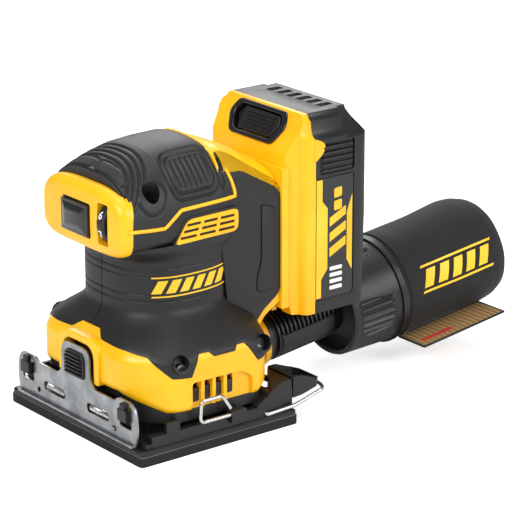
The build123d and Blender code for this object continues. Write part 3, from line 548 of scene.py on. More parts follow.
# lower edge of the rubber, by bearing: over the arch, corner, tongue round each screw, crenels
RUBBER_HEM = [(-90, 55), (-79, 55), (-73, 51.5), (-52, 50.5), (-39.7, 48.5), (-27.5, 38.4),
              (-17, 37.6), (-12.5, 48.2), (-5.9, 48), (-3, 45.5), (10.4, 45.5), (12.6, 48),
              (17.2, 48), (24.6, 37.4), (32.6, 37.9), (37, 46), (44, 50), (90, 50)]


def make_skirt():
    """The yellow lower housing with its vents and the arch for the clamp tab."""
    def surface(depth):
        def place(u, v):
            bearing = 2 * math.pi * u
            side = fold(bearing)
            low = straight(SKIRT_HEM, side)
            top = straight(RUBBER_HEM, side) + 3
            curl = 1.2 * (1 - min(1, v * 8)) ** 2
            return body_point(bearing, low + (top - low) * v, -curl - depth)
        return place

    skirt = shell("lower_housing", 360, 30, surface(0), surface(5))
    cut(skirt, plate("tool", round_outline(ARCH, ARCH_RADII), -50, 16, "Y"))
    for side in (-1, 1):
        pocket = round_outline([(-14, 12), (-14, 34.5), (16, 34.5), (23, 30), (23, 12)], [0, 2, 3, 3, 0])
        cut(skirt, plate("tool", pocket, side * 50.6, side * 6, "X"))
        for slot_y in (-10.6, -3.8, 3, 9.8):
            cut(skirt, block("tool", (min(side * 40, side * 60), slot_y - 2.1, 23.6),
                             (max(side * 40, side * 60), slot_y + 2.1, 33.4), 0.9, 2))
    for side in (-1, 1):
        for y in SCREW_PLACES:
            cut(skirt, peg("tool", (side * 49.4, y, 44.5), (side * 60, y, 48.5), 4, 1.15))
    soften(skirt, 0.45, 2, 50)
    fit(skirt, "housing", "yellow_nylon", yellow_nylon, "housing_left", "housing_right")

    outer = round_outline([(-17.2, 29), (-17.2, 51.8), (17.2, 51.8), (17.2, 29)], [0, 9.5, 9.5, 0], 8)
    rim = plate("arch_rim", outer, -44.9, 7, "Y")
    cut(rim, plate("tool", round_outline(ARCH, ARCH_RADII, 8), -52, 20, "Y"))
    soften(rim, 0.9, 3)
    fit(rim, "housing", "yellow_nylon", yellow_nylon)

    bars = []
    for side in (-1, 1):
        for y in (-7.2, -0.4, 6.4):
            near, far = sorted((side * 49.6, side * 52.4))
            bars.append(block("bar", (near, y - 1.1, 20.8), (far, y + 1.1, 34.6), 0.5, 3))
    fit(together("vent_bars", bars), "housing", "yellow_nylon", yellow_nylon)


def neck_groove(side, height):
    """Fine engraved lines round the front of the neck."""
    depth = 0
    for line in (70, 86.5):
        depth += math.exp(-((height - line) / 0.45) ** 2)
    for line in (73.6, 83):
        depth += math.exp(-((height - line) / 0.4) ** 2) * (1 if side < -34 else 0)
    return 0.4 * depth * smooth(30, 20, side)


def make_grip():
    """The soft black rubber over the shoulder and the neck."""
    def surface(depth):
        def place(u, v):
            bearing = 2 * math.pi * u
            side = fold(bearing)
            low = straight(RUBBER_HEM, side)
            height = low + (FLARE_HIGH + 1.5 - low) * v
            edge = 0.5 * (1 - min(1, v * 20)) ** 2
            relief = neck_groove(side, height) if depth == 0 else 0
            return body_point(bearing, height, 0.75 - edge - relief - depth)
        return place

    grip = shell("rubber_grip", 420, 100, surface(0), surface(2.4))
    for side in (-1, 1):
        for y in SCREW_PLACES:
            cut(grip, peg("tool", (side * 46, y, 43.4), (side * 62, y, 49.4), 3.9, 1.25))
    cut(grip, block("tool", (-0.25, -60, 40), (0.25, -28.55, 96)))
    fit(grip, "housing", "black_overmould", black_rubber, "grip_left", "grip_right", angle=32)

    for number, y in enumerate(SCREW_PLACES):
        cups = []
        for side in (-1, 1):
            cup = peg("cup", (side * 48.6, y, 44), (side * 53, y, 45.4), 4.7, 1)
            cut(cup, peg("tool", (side * 48.6, y, 44.4), (side * 60, y, 48.6), 4, 1.1))
            cups.append(cup)
        fit(together(f"screw_well_{number + 1}", cups), "housing", "black_overmould", black_rubber)


def printed(name, places, columns, rows, thickness):
    """Thin printed patches, each laid over a surface place(u, v)."""
    patches = []
    for place in places:
        patch = wrap(name, columns, rows, place, closed=False)
        modify(patch, "SOLIDIFY", thickness=thickness * MM, offset=0)
        patches.append(patch)
    return together(name, patches)


def make_badge():
    """Plain printed bars between two thin lines on both sides of the neck."""
    def strip_place(first, last, low, high, lean):
        def place(u, v):
            bearing = math.radians(first + (last - first) * u + lean * (v - 0.5))
            return body_point(bearing, low + (high - low) * v, 0.85)
        return place

    strips = [strip_place(-38, 38, 82.2, 82.9, 0), strip_place(-38, 38, 72.4, 73.1, 0)]
    for number in range(6):
        first = -35.5 + 12 * number
        strips.append(strip_place(first, first + 8, 74.4, 80.9, 6))
    badge = printed("neck_badge", strips, 36, 4, 0.2)
    fit(both_sides("neck_badge", badge), "housing", "label", yellow_ink)


# ======== head: band, cover, piping ========

HEAD_FRONT, HEAD_REAR = -36, 29
HEAD_SPRING = 107            # height at which the sides start to round over
HEAD_POWER = 2.45
RIDGE = [(-41, 130.4), (-36, 133.2), (-30, 136.4), (-21, 139.6), (-12, 142), (0, 143.1),
         (14, 143.4), (20, 141.8), (30, 137), (38, 133)]
SPLIT = [(-36, 110.4), (-17, 109.2), (-7, 116.2), (26, 117)]


def ridge(y):
    return straight(RIDGE, y)


def head_half(y):
    """Half the head's width at y."""
    return 35.3 - 1.2 * smooth(-24, -38, y) - 0.8 * smooth(15, 30, y)


def dome_point(y, turn, proud=0):
    """The head's section at y, turned from 0 at the right side to 180 degrees at the left."""
    cosine, sine = math.cos(turn), math.sin(turn)
    half = head_half(y) + proud
    rise = ridge(y) + proud - HEAD_SPRING
    x = half * math.copysign(abs(cosine) ** (2 / HEAD_POWER), cosine)
    return (x, y, HEAD_SPRING + rise * abs(sine) ** (2 / HEAD_POWER))


def split_turn(y):
    """The turn at which the dome's section is at the height of the parting line."""
    share = (straight(SPLIT, y) - HEAD_SPRING) / (ridge(y) - HEAD_SPRING)
    return math.asin(share ** (HEAD_POWER / 2))


def cover_rear(turn):
    """The cover's rear edge: an arch that leans forward at the ridge."""
    return 26 - 8 * math.sin(turn) ** 3


def capsule(a, b, centre, half_long, half_short):
    """Distance from a rounded slot's outline, on a surface with coordinates a and b."""
    over = max(abs(a - centre[0]) - (half_long - half_short), 0)
    return math.hypot(over, b - centre[1]) - half_short


def box_distance(a, b, centre, half_a, half_b, corner):
    dx = abs(a - centre[0]) - half_a + corner
    dy = abs(b - centre[1]) - half_b + corner
    return math.hypot(max(dx, 0), max(dy, 0)) + min(max(dx, dy), 0) - corner


def cover_relief(y, away):
    """Depth of the grip grooves at y, and at that distance in mm round from the ridge."""
    depth = 0
    panel = box_distance(y, away, (4, 24.5), 11.5, 8.6, 4)
    for level in (0.4, 3):
        depth = max(depth, math.exp(-((panel - level) / 0.6) ** 2))
    if panel < -1.2:
        rib = (y + 6) % 3.1 - 1.55
        depth = max(depth, math.exp(-(rib / 0.62) ** 2) * smooth(-1.2, -2.4, panel))
    lean = y + 0.012 * away * away
    for level in (-26, -22.6, -19.2, -15.8):
        fade = smooth(36, 30, away) * smooth(2.6, 4.2, panel)
        depth = max(depth, math.exp(-((lean - level) / 0.7) ** 2) * fade)
    front_panel = box_distance(y, away, (-31.5, 10), 3.4, 9.5, 2)
    depth = max(depth, 0.8 * math.exp(-(front_panel / 0.55) ** 2))
    slot = capsule(away, y, (27, 21.6 - 0.05 * away), 7, 1.6)
    depth = max(depth, math.exp(-(slot / 0.6) ** 2))
    boss = math.hypot(y + 21.5, away - 31)
    depth *= smooth(6.4, 7.6, boss)
    return max(depth, 0.8 * math.exp(-((boss - 7.6) / 0.5) ** 2))


def make_head():
    """The head's core and band, the grooved cover over it, the screw wells and the yellow piping."""
    def place(u, v):
        y = HEAD_FRONT + (HEAD_REAR - HEAD_FRONT) * v
        turn = math.pi * 2 * u
        if turn <= math.pi:
            return dome_point(y, turn)
        cosine, sine = math.cos(turn), math.sin(turn)
        half = head_half(y)
        x = half * math.copysign(abs(cosine) ** (2 / 6), cosine)
        return (x, y, HEAD_SPRING - 10.5 * abs(sine) ** (2 / 3.2))

    head = capped("head_band", 200, 60, place)
    for side in (-1, 1):
        cut(head, peg("tool", (side * 26, -21.2, 112), (side * 33.5, -21.8, 135), 5.2))
    fit(head, "housing", "black_overmould", black_rubber)

    def cover_place(u, v):
        outside = u <= 0.5
        share = 2 * u if outside else 2 * (1 - u)
        start = HEAD_FRONT + 1
        turn0 = split_turn(start + (cover_rear(0.35) - start) * v)
        turn = turn0 + (math.pi - 2 * turn0) * share
        y = start + (cover_rear(turn) - start) * v
        turn1 = split_turn(min(y, 26))
        turn = turn1 + (math.pi - 2 * turn1) * share
        spot = Vector(dome_point(y, turn, 0.9 if outside else -1.3))
        if not outside:
            return spot
        away = abs(math.pi / 2 - turn) / (math.pi / 2) * 45
        out = (spot - Vector((0, y, 112))).normalized()
        return spot - out * cover_relief(y, away)

    cover = capped("cover_shell", 480, 170, cover_place)
    for side in (-1, 1):
        cut(cover, peg("tool", (side * 26, -21.2, 112), (side * 33.5, -21.8, 135), 4.5))
    fit(cover, "housing", "black_overmould", black_rubber, "top_cover", angle=50)

    wells = []
    for side in (-1, 1):
        well = peg("well", (side * 26.6, -21.25, 113), (side * 29.3, -21.5, 122), 5)
        cut(well, peg("tool", (side * 27.2, -21.3, 115), (side * 33.5, -21.8, 135), 4.4))
        wells.append(well)
    fit(together("cover_screw_wells", wells), "housing", "black_overmould", black_rubber)

    line = []
    steps = 44
    for step in range(steps + 1):
        y = -37.5 + (26 + 37.5) * step / steps
        line.append(dome_point(y, split_turn(max(y, -36)), 0.75))
    rear_turn = split_turn(26)
    arch = []
    for step in range(1, 60):
        turn = rear_turn + (math.pi - 2 * rear_turn) * step / 60
        arch.append(dome_point(cover_rear(turn) + 0.5, turn, 0.75))
    left = [(-x, y, z) for x, y, z in reversed(line)]
    piping = rod("yellow_piping", line + arch + left, 0.95)
    fit(piping, "housing", "yellow_nylon", yellow_nylon)


# ======== front bezel, switch, dial ========

BEZEL_MIDDLE = (0, 112.2)
BEZEL_HALF = (34.9, 17)


def make_bezel():
    """The yellow front bezel, a soft pillow with openings for the switch and the dial."""
    edge = 5.5

    def place(u, v):
        bearing = 2 * math.pi * u
        cosine, sine = math.cos(bearing), math.sin(bearing)
        power = 5 - 1.9 * smooth(-0.3, 0.5, sine)
        reach = (abs(cosine) ** power + abs(sine) ** power) ** (-1 / power)
        unit_x, unit_z = reach * cosine, reach * sine
        upward = max(0, sine)
        if v < 0.5:
            share = v / 0.5
            inset = edge
            scale_x = (BEZEL_HALF[0] - inset) * share
            scale_z = (BEZEL_HALF[1] - inset) * share
            return (BEZEL_MIDDLE[0] + unit_x * scale_x, -42.6 + 0.6 * share ** 3,
                    BEZEL_MIDDLE[1] + unit_z * scale_z)
        if v < 0.85:
            turn = (v - 0.5) / 0.35 * math.pi / 2
            inset = edge * (1 - math.sin(turn))
            y = -42 + edge * (1 - math.cos(turn))
        else:
            inset = 0
            share = (v - 0.85) / 0.15
            y = -42 + edge + (1.6 + 5.5 * upward ** 2) * share
        return (BEZEL_MIDDLE[0] + unit_x * (BEZEL_HALF[0] - inset), y,
                BEZEL_MIDDLE[1] + unit_z * (BEZEL_HALF[1] - inset))

    bezel = wrap("bezel_face", 180, 48, place)
    modify(bezel, "SOLIDIFY", thickness=2.6 * MM, offset=-1)
    switch_hole = round_outline([(-13.8, 102.2), (9.8, 102.2), (9.8, 119.8), (-13.8, 119.8)], 1.6)
    dial_hole = round_outline([(15.9, 101.6), (24.1, 101.6), (24.1, 122.4), (15.9, 122.4)], 1)
    cut(bezel, plate("tool", switch_hole, -50, 14, "Y"), plate("tool", dial_hole, -50, 14, "Y"))
    soften(bezel, 0.35, 2, 50)
    fit(bezel, "housing", "yellow_nylon", yellow_nylon, "front_bezel")

    well = block("dial_well", (15, -39.6, 100.8), (25, -24, 123.2))
    cut(well, block("tool", (15.9, -60, 101.6), (24.1, -25, 122.4)))
    fit(well, "housing", "yellow_nylon", yellow_nylon)


def make_switch():
    """The rocker: a black cap with a raised, faceted pad."""
    low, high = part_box("switch_rocker")
    low, high = low / MM, high / MM
    cap = block("rocker_cap", (low.x - 2.2, low.y, low.z - 1.2), (high.x + 2.2, high.y, high.z + 1.2))
    only(cap)
    for kind in ("vertices", "edges"):
        for part in getattr(cap.data, kind):
            part.select = False
    for polygon in cap.data.polygons:
        polygon.select = polygon.normal.y < -0.9
    bpy.ops.object.mode_set(mode="EDIT")
    bpy.ops.mesh.select_mode(type="FACE")
    bpy.ops.mesh.inset(thickness=1.4 * MM, depth=0)
    bpy.ops.mesh.extrude_region_move(TRANSFORM_OT_translate={"value": (0, -0.2 * MM, 0)})
    bpy.ops.mesh.inset(thickness=3.4 * MM, depth=1 * MM)
    bpy.ops.object.mode_set(mode="OBJECT")
    tidy_mesh(cap)
    soften(cap, 0.35, 3, 20)
    fit(cap, "switch", "gloss_black", gloss_black, "switch_rocker")


DIAL_AXIS = (-33.4, 112)
DIAL_RADIUS = 10.9


def make_dial():
    """The speed dial: a knurled wheel with its numbers on the rim."""
    width = 3.3

    def place(u, v):
        turn = 2 * math.pi * u
        reach = (v - 0.5) * 2
        shoulder = max(0, abs(reach) - 0.62) / 0.38
        knurl = 0.35 * (0.5 + 0.5 * math.cos(48 * turn)) * (1 if abs(reach) > 0.5 else 0)
        radius = (DIAL_RADIUS - 1.2 * shoulder ** 2 - knurl)
        if v in (0, 1):
            radius = 0
        return (20 + reach * width, DIAL_AXIS[0] + radius * math.cos(turn),
                DIAL_AXIS[1] + radius * math.sin(turn))

    wheel = wrap("dial_wheel", 288, 20, place)
    fit(wheel, "dial", "gloss_black", black_nylon, "speed_dial")
    spacing = 360 / 7
    front = 180 - 26           # where the 6 stands at rest
    numbers = []
    for number in range(1, 8):
        bpy.ops.object.select_all(action="DESELECT")
        bpy.ops.object.text_add()
        text = bpy.context.object
        text.data.body = str(number)
        text.data.size = 5.6 * MM
        text.data.extrude = 0.15 * MM
        text.data.offset = 0.12 * MM
        text.data.align_x = "CENTER"
        text.data.align_y = "CENTER"
        bpy.ops.object.convert(target="MESH")
        text = bpy.context.object
        start = math.radians(front + (number - 6) * spacing)
        for vertex in text.data.vertices:
            radius = DIAL_RADIUS + 0.02 + vertex.co.z / MM
            turn = start - vertex.co.y / MM / DIAL_RADIUS
            vertex.co = Vector((20 + vertex.co.x / MM, DIAL_AXIS[0] + radius * math.cos(turn),
                                DIAL_AXIS[1] + radius * math.sin(turn))) * MM
        tidy_mesh(text, 0.001)
        numbers.append(text)
    fit(together("dial_numbers", numbers), "dial", "label", white_ink)


def make_side_vents():
    """The yellow grilles on both sides of the head."""
    outline = round_outline([(-10.9, 99.6), (-3.4, 111), (26.8, 111.4), (26.8, 100.2)], [2, 3.5, 2.6, 4])
    tray = plate("grille_right", outline, 34.2, 2.3, "X")
    for row, height in enumerate((102.4, 105.4, 108.4)):
        start = -8.2 + 2 * row
        length = (24.6 - start - 2 * 1.6) / 3
        for column in range(3):
            y = start + column * (length + 1.6)
            slot = round_outline([(y, height - 0.75), (y + length, height - 0.75),
                                  (y + length, height + 0.75), (y, height + 0.75)], 0.5, 3)
            cut(tray, plate("tool", slot, 30, 10, "X"))
    soften(tray, 0.4, 2)
    left = twin(tray, "grille_left")
    fit(tray, "housing", "yellow_nylon", yellow_nylon, "side_vent_right")
    fit(left, "housing", "yellow_nylon", yellow_nylon, "side_vent_left")
    # painted shade: a dark orange sheet behind the grille slots stands for the shade deep in the vents
    shade_sheet = plate("painted_vent_shade", outline, 35, 0.6, "X")
    fit(both_sides("painted_vent_shade", shade_sheet), "housing", "yellow_nylon", vent_shadow)

    margin = round_outline([(-12.5, 98.6), (-4.4, 112.2), (28.2, 112.6), (28.2, 99)], [2, 4, 3, 4.5])
    bezel = plate("vent_surround", margin, 34, 1.7, "X")
    soften(bezel, 0.6, 3)
    fit(both_sides("vent_surrounds", bezel), "housing", "black_overmould", black_rubber)


make_skirt()
make_grip()
make_badge()
make_head()
make_bezel()
make_switch()
make_dial()
make_side_vents()


# ======== rear block and battery foot ========

BLOCK_HALF = 30
BLOCK_SIDE = [(20, 99), (20, 138), (27.5, 137.4), (36, 131.6), (57.6, 117.6), (57.6, 60.5),
              (46.5, 52.8), (42, 47), (26, 47)]


REAR_ROOF = [(15, 141.6), (27, 139.8), (38, 135.8), (52, 127.6), (61.2, 121.6), (66, 118.4)]
ROOF_HALF, ROOF_DROP, ROOF_POWER = 31.4, 26, 3.5


def crown(piece):
    """Keeps what lies under the crowned roof that runs down to the battery."""
    def place(u, v):
        y = 15 + 51 * v
        turn = 2 * math.pi * u
        cosine, sine = math.cos(turn), math.sin(turn)
        x = ROOF_HALF * math.copysign(abs(cosine) ** (2 / ROOF_POWER), cosine)
        top = straight(REAR_ROOF, y)
        if sine >= 0:
            return (x, y, top - ROOF_DROP + ROOF_DROP * sine ** (2 / ROOF_POWER))
        return (x, y, max(38, top - ROOF_DROP + 400 * sine))

    roof = capped("tool", 160, 40, place)
    combine(piece, "INTERSECT", roof)


def make_rear_block():
    """The black rear of the housing and its yellow edge."""
    outline = round_outline(BLOCK_SIDE, [0, 3, 3, 3, 4, 4, 3, 3, 0])
    core = plate("rear_block", outline, -BLOCK_HALF - 0.7, 2 * BLOCK_HALF + 1.4, "X")
    crown(core)
    soften(core, 3.6, 5, 50)
    panel = round_outline([(45.4, 108.4), (53.6, 105.4), (53.4, 63.5), (42.6, 63), (42.6, 70), (45.4, 79)],
                          [2, 2, 2.5, 2.5, 3, 3])
    for side in (-1, 1):
        raised = plate("tool", panel, side * (BLOCK_HALF + 0.2), side * 1, "X")
        frame_cut = plate("tool", panel, side * (BLOCK_HALF + 0.1), side * 3, "X")
        modify(frame_cut, "SOLIDIFY", thickness=0.45 * MM, offset=1)
        cut(core, frame_cut)
        soften(raised, 0.3, 2)
        combine(core, "UNION", raised)
    fit(core, "housing", "black_overmould", black_rubber)

    outer = round_outline([(19, 128), (19, 143), (27.2, 143), (40, 136), (61.2, 122.4), (61.2, 57.6),
                           (47, 49.2), (43, 42), (33, 42), (44, 54.5), (57, 63), (57, 114.5),
                           (33, 128)], [0, 2, 3, 3, 4, 5, 4, 0, 0, 3, 4, 4, 3])
    band = plate("rear_edge_band", outer, -BLOCK_HALF - 0.2, 2 * BLOCK_HALF + 0.4, "X")
    crown(band)
    soften(band, 1.3, 4, 50)
    fit(band, "housing", "yellow_nylon", yellow_nylon)


# ======== battery ========

SHELL_PLAN = [(-30.4, 60.6), (30.4, 60.6), (31.6, 64.4), (32.4, 67), (35.2, 68.6), (37, 70.4), (37.2, 75),
              (-37.2, 75), (-37, 70.4), (-35.2, 68.6), (-32.4, 67), (-31.6, 64.4)]
SHELL_RADII = [3.2, 3.2, 2, 3, 3, 2, 0, 0, 2, 3, 3, 2]
# what is cut away above the battery's stepped shoulder, across and up
SHOULDER = [(30.2, 155), (30.2, 149.4), (31.2, 147.4), (33, 146.2), (33.5, 141.6), (34.6, 139.2),
            (36.4, 137.6), (38.5, 137), (50, 137), (50, 155)]
REAR_SHOULDER = [(27.5, 155), (27.5, 148), (29.4, 145.4), (31, 142.4), (33.4, 139.4), (36, 136.4),
                 (38.5, 135), (50, 135), (50, 155)]
# the case's rear, by y and height
CASE_REAR = [(105.2, 40), (105.2, 55), (109.2, 112), (109.8, 130), (109, 135), (105.6, 141),
             (102, 145.5), (99.4, 155), (125, 155), (125, 40)]


def make_battery():
    """The yellow front shell with its release key, the black case behind it, and the labels."""
    plan = round_outline(SHELL_PLAN, SHELL_RADII, 5)
    shell = plate("shell_front", plan, 46.6, 103.2, "Z")
    slope = plate("tool", [(50, 134), (50, 160), (80, 160), (72.4, 150.6), (61, 131.4), (59, 128.4)],
                  -50, 100, "X")
    cut(shell, slope)
    for side in (-1, 1):
        cut(shell, plate("tool", [(side * x, z) for x, z in SHOULDER], 55, 30, "Y"))
        lobe = round_outline([(74, 126), (78.5, 129.5), (80.4, 132), (80.4, 135), (77, 137.2), (74, 138)],
                             [0, 2, 1.5, 1.5, 2, 0])
        combine(shell, "UNION", plate("tool", lobe, side * 33, side * 4.6, "X"))
    cut(shell, block("tool", (-19.6, 60, 40), (19.6, 64.5, 120.6)),
        block("tool", (-23.6, 63.5, 40), (23.6, 69.5, 120.6)))
    for side in (-1, 1):
        low_cut = plate("tool", round_outline([(60, 40), (60, 50), (63, 51.4), (64.4, 46), (64.4, 40)],
                                              [0, 1, 1, 0, 0]), side * 20, side * 30, "X")
        cut(shell, low_cut)
    slant = Vector((0, 11.5, 18)).normalized()
    out = Vector((0, -18, 11.5)).normalized()
    middle = Vector((0, 66.6, 141))

    def slanted(name, points, low, depth):
        """A plate in the slanted face: across, and up the slope."""
        piece = plate(name, points, low, depth, "Z")
        turn = Matrix((Vector((1, 0, 0)), slant, out)).transposed().to_4x4()
        piece.data.transform(Matrix.Translation(middle * MM) @ turn)
        return piece

    frame_edge = round_outline([(-17.4, -9.4), (17.4, -9.4), (23, 1.5), (19.4, 9.2), (-19.4, 9.2),
                                (-23, 1.5)], [3.4, 3.4, 3, 3, 3, 3])
    pocket = slanted("tool", frame_edge, -7.4, 17)
    cut(shell, pocket)
    soften(shell, 0.8, 3, 40)
    fit(shell, "battery", "yellow_nylon", yellow_nylon, "battery_shell")

    ring = slanted("button_frame", frame_edge, -7.2, 8)
    inner = round_outline([(-14.6, -7), (14.6, -7), (19, 1.4), (16.4, 6.8), (-16.4, 6.8), (-19, 1.4)], 2.4)
    cut(ring, slanted("tool", inner, -9, 20))
    soften(ring, 0.7, 3, 50)
    fit(ring, "battery", "black_nylon", gloss_black)

    key = slanted("release_key", round_outline([(-12.2, -6.2), (13.9, -6.2), (17.8, 1.3), (15.6, 5.9),
                                                (-12.2, 5.9)], [1.2, 2, 2, 2, 1.2]), -3, 3.4)
    soften(key, 0.6, 3)
    bars = []
    for row in range(5):
        across = -3.6 + 1.9 * row
        bar = slanted("bar", round_outline([(-9.6, across - 0.5), (12.8, across - 0.5),
                                            (12.8, across + 0.5), (-9.6, across + 0.5)], 0.4, 3), 0.2, 0.9)
        soften(bar, 0.25, 2)
        bars.append(bar)
    hook = slanted("bar", round_outline([(-18.2, 1.4), (-14, -6.2), (-12.9, -6.2), (-12.9, 5.9),
                                         (-15.8, 5.9)], 0.8), -3, 0.9)
    fit(together("release_key", [key, *bars, hook]), "release_button", "gloss_black", case_abs,
        "battery_button")

    plan = round_outline([(-37.4, 74.6), (37.4, 74.6), (37.4, 110), (-37.4, 110)], [0.8, 0.8, 8, 8], 8)
    case = plate("case_rear", plan, 46.6, 103.3, "Z")
    cut(case, plate("tool", round_outline(CASE_REAR, [0, 0, 20, 4, 4, 4, 4, 0, 0, 0]), -50, 100, "X"))
    for side in (-1, 1):
        cut(case, plate("tool", [(side * x, z) for x, z in SHOULDER], 70, 50, "Y"))
        cut(case, plate("tool", [(side * x, z) for x, z in REAR_SHOULDER], 94.6, 30, "Y"))
    soften(case, 1.6, 3, 40)
    for side in (-1, 1):
        recess = round_outline([(77.6, 119), (77.6, 132.6), (79.8, 135.4), (99.6, 135.4), (99.6, 119)], 1.6)
        cut(case, plate("tool", recess, side * 36.2, side * 5, "X"))
        label_bed = round_outline([(74, 53), (74, 117.6), (99.4, 117.6), (99.4, 53)], [0, 0, 1, 3])
        cut(case, plate("tool", label_bed, side * 36.9, side * 5, "X"))
    for column in range(6):
        x = -19 + 8 * column
        groove = round_outline([(x - 2.4, 88.6), (x + 2.4, 88.6), (x + 2.4, 97), (x - 2.4, 97)], 1, 3)
        cut(case, plate("tool", groove, 148, 5, "Z"))
    soften(case, 0.35, 2, 50)
    fit(case, "battery", "black_nylon", case_abs, "battery_case")

    ribs = []
    for row in range(5):
        height = 120.6 + 3 * row
        line = fillet_path([(36, 78.6, height), (37, 79.6, height), (37, 98, height),
                            (36, 98.8, height)], 1)
        ribs.append(rod("rib", line, 0.8, resolution=3))
    fit(both_sides("case_grip_ribs", together("case_grip_ribs", ribs)), "battery", "black_nylon", case_abs)

    spine = []
    for column in (-22, -11, 0, 11, 22):
        rib = plate("spine", [(104, 62), (106.4, 62), (110, 112), (110.5, 128), (104, 128)],
                    column - 3.6, 7.2, "X")
        soften(rib, 0.6, 3)
        spine.append(rib)
    fit(together("case_back_ribs", spine), "battery", "black_nylon", case_abs)

    ink_level, ink_depth = 37.3, 0.12
    film = plate("label_film", round_outline([(75.2, 53.8), (75.2, 116.8), (98.8, 116.8), (98.8, 53.8)],
                                             [1, 1, 1, 3]), 36.8, 0.5, "X")
    fit(both_sides("label_film", film), "battery", "label", label_film, "battery_labels")
    ink = [plate("ink", [(75.3, 54.2), (75.3, 116.4), (79, 116.4), (79, 105), (82.4, 101), (82.4, 69),
                         (78.4, 64), (78.4, 54.2)], ink_level, ink_depth, "X"),
           plate("ink", [(98.4, 66), (95, 72), (95, 97), (98.4, 106)], ink_level, ink_depth, "X")]
    for row in range(3):
        z = 75 + 8 * row
        ink.append(plate("ink", [(83.8, z), (94.2, z + 5), (94.2, z + 9.6), (83.8, z + 4.6)], ink_level,
                         ink_depth, "X"))
    for row in range(2):
        z = 99 + 6.6 * row
        ink.append(plate("ink", round_outline([(86.6, z), (86.6, z + 5), (91.6, z + 5.6), (91.6, z + 0.6)],
                                              0.8, 2), ink_level, ink_depth, "X"))
    fit(both_sides("label_ink", together("label_ink", ink)), "battery", "label", yellow_ink)

    screws = [peg("screw", (side * 28, 80, 143), (side * 28, 80, 147.2), 2.2, sides=24) for side in (-1, 1)]
    fit(together("case_screws", screws), "battery", "shaft_steel", shaft_steel, "battery_screws")
    gauge = []
    for row in range(4):
        z = 57.5 + 3.4 * row
        gauge.append(plate("ink", round_outline([(84, z), (84, z + 2), (92, z + 2), (92, z)], 0.5, 2),
                           ink_level, ink_depth, "X"))
    fit(both_sides("label_gauge", together("label_gauge", gauge)), "battery", "label", white_ink)


# ======== dust bag ========

DUST_START = Vector((0, 60, 25))
DUST_TILT = math.radians(7.5)
DUST_WAY = Vector((0, math.cos(DUST_TILT), math.sin(DUST_TILT)))
DUST_UP = Vector((0, -math.sin(DUST_TILT), math.cos(DUST_TILT)))


def dust_point(distance, radius, bearing):
    """A point at that distance along the dust axis; bearing 0 is to the right, 90 degrees is up."""
    return (DUST_START + DUST_WAY * distance + DUST_UP * radius * math.sin(bearing)
            + AXES["X"] * radius * math.cos(bearing))


def turned(name, profile, body, slot, material, *nodes, sides=96, relief=None, rows=1):
    """A hollow or solid turned part about the dust axis from a closed profile of (distance, radius)."""
    closed = profile + [profile[0]]
    dense = []
    for (t0, r0), (t1, r1) in zip(closed, closed[1:]):
        for step in range(rows):
            dense.append((t0 + (t1 - t0) * step / rows, r0 + (r1 - r0) * step / rows))
    dense.append(dense[0])

    def place(u, v):
        distance, radius = dense[round(v * (len(dense) - 1))]
        bearing = 2 * math.pi * u
        if relief:
            radius += relief(distance, radius, bearing)
        return dust_point(distance, radius, bearing)

    piece = wrap(name, sides, len(dense) - 1, place)
    return fit(piece, body, slot, material, *nodes)


def make_dust_tube():
    """The ribbed hose end with a smooth raised panel on each side."""
    ribs = 15
    first, last = 9, 50
    pitch = (last - first) / ribs
    outside = [(5.2, 13), (5.2, 14.2), (7.4, 14.2), (7.6, 13.4)]
    for rib in range(ribs):
        start = first + pitch * rib
        outside += [(start, 13), (start + 0.45 * pitch, 13), (start + 0.55 * pitch, 14.4),
                    (start + 0.9 * pitch, 14.4)]
    outside += [(last + 0.3, 13.2), (54, 13.2), (54, 11), (5.2, 11)]
    turned("hose_end", outside, "dust_bag", "black_nylon", black_nylon, "dust_tube", sides=128)

    def panel_place(side):
        def place(u, v):
            spread_angle = math.radians(46) * (v - 0.5) - math.radians(14)
            bearing = (0 if side > 0 else math.pi) + side * spread_angle
            over = max(abs(u - 0.5) * 2 - 0.93, 0) / 0.07 + max(abs(v - 0.5) * 2 - 0.88, 0) / 0.12
            return dust_point(12 + 36 * u, 14.75 - 0.6 * min(1, over) ** 2, bearing)
        return place

    for side, label in ((1, "right"), (-1, "left")):
        panel = wrap(f"hose_panel_{label}", 60, 24, panel_place(side), closed=False)
        modify(panel, "SOLIDIFY", thickness=1.6 * MM, offset=-1 if side > 0 else 1)
        tidy_mesh(panel)
        fit(panel, "dust_bag", "black_nylon", black_nylon)


def cup_relief(distance, radius, bearing):
    """Finger ribs in four sunk fields round the cup, wider towards the hose."""
    field = (math.degrees(bearing) + 5 + 45) % 90 - 45
    half = 25 - 6 * (distance - 56) / 21.5
    inside = smooth(half, half - 1.5, abs(field)) * smooth(55.5, 57, distance) * smooth(78, 76, distance)
    if radius < 26 or inside <= 0:
        return 0
    rib = 0.5 + 0.5 * math.cos(math.radians(field) * 45)
    return -1.2 * inside * (1 - rib ** 2)


def make_dust_cup():
    """The cup that opens from the hose to the bag, with a rounded rim and finger ribs."""
    outside = [(53.2, 12.6), (54.6, 15), (56.6, 19), (57, 21.4), (55.2, 22.8), (52.8, 23.4), (51.6, 24),
               (51.1, 25), (51.4, 25.9), (52.4, 26.4)]
    for step in range(45):
        distance = 53.4 + 30 * step / 44
        outside.append((distance, 26.5 + 2.3 * (distance - 53.4) / 30))
    outside += [(83.8, 29.3), (84.8, 29.6), (86, 29.5), (86.6, 29), (86.6, 27.4), (80, 26.6), (60.8, 24.4),
                (59, 20), (58.2, 12.6)]
    turned("dust_cup_shell", outside, "dust_bag", "black_nylon", black_nylon, "dust_cup", sides=360,
           relief=cup_relief)


BAG_PROFILE = [(85.2, 28.6), (88, 28.9), (95, 29), (120, 29.4), (144, 29.6), (151, 29), (156, 27.2),
               (159.4, 23.6), (161, 17), (161.6, 8), (161.8, 0)]


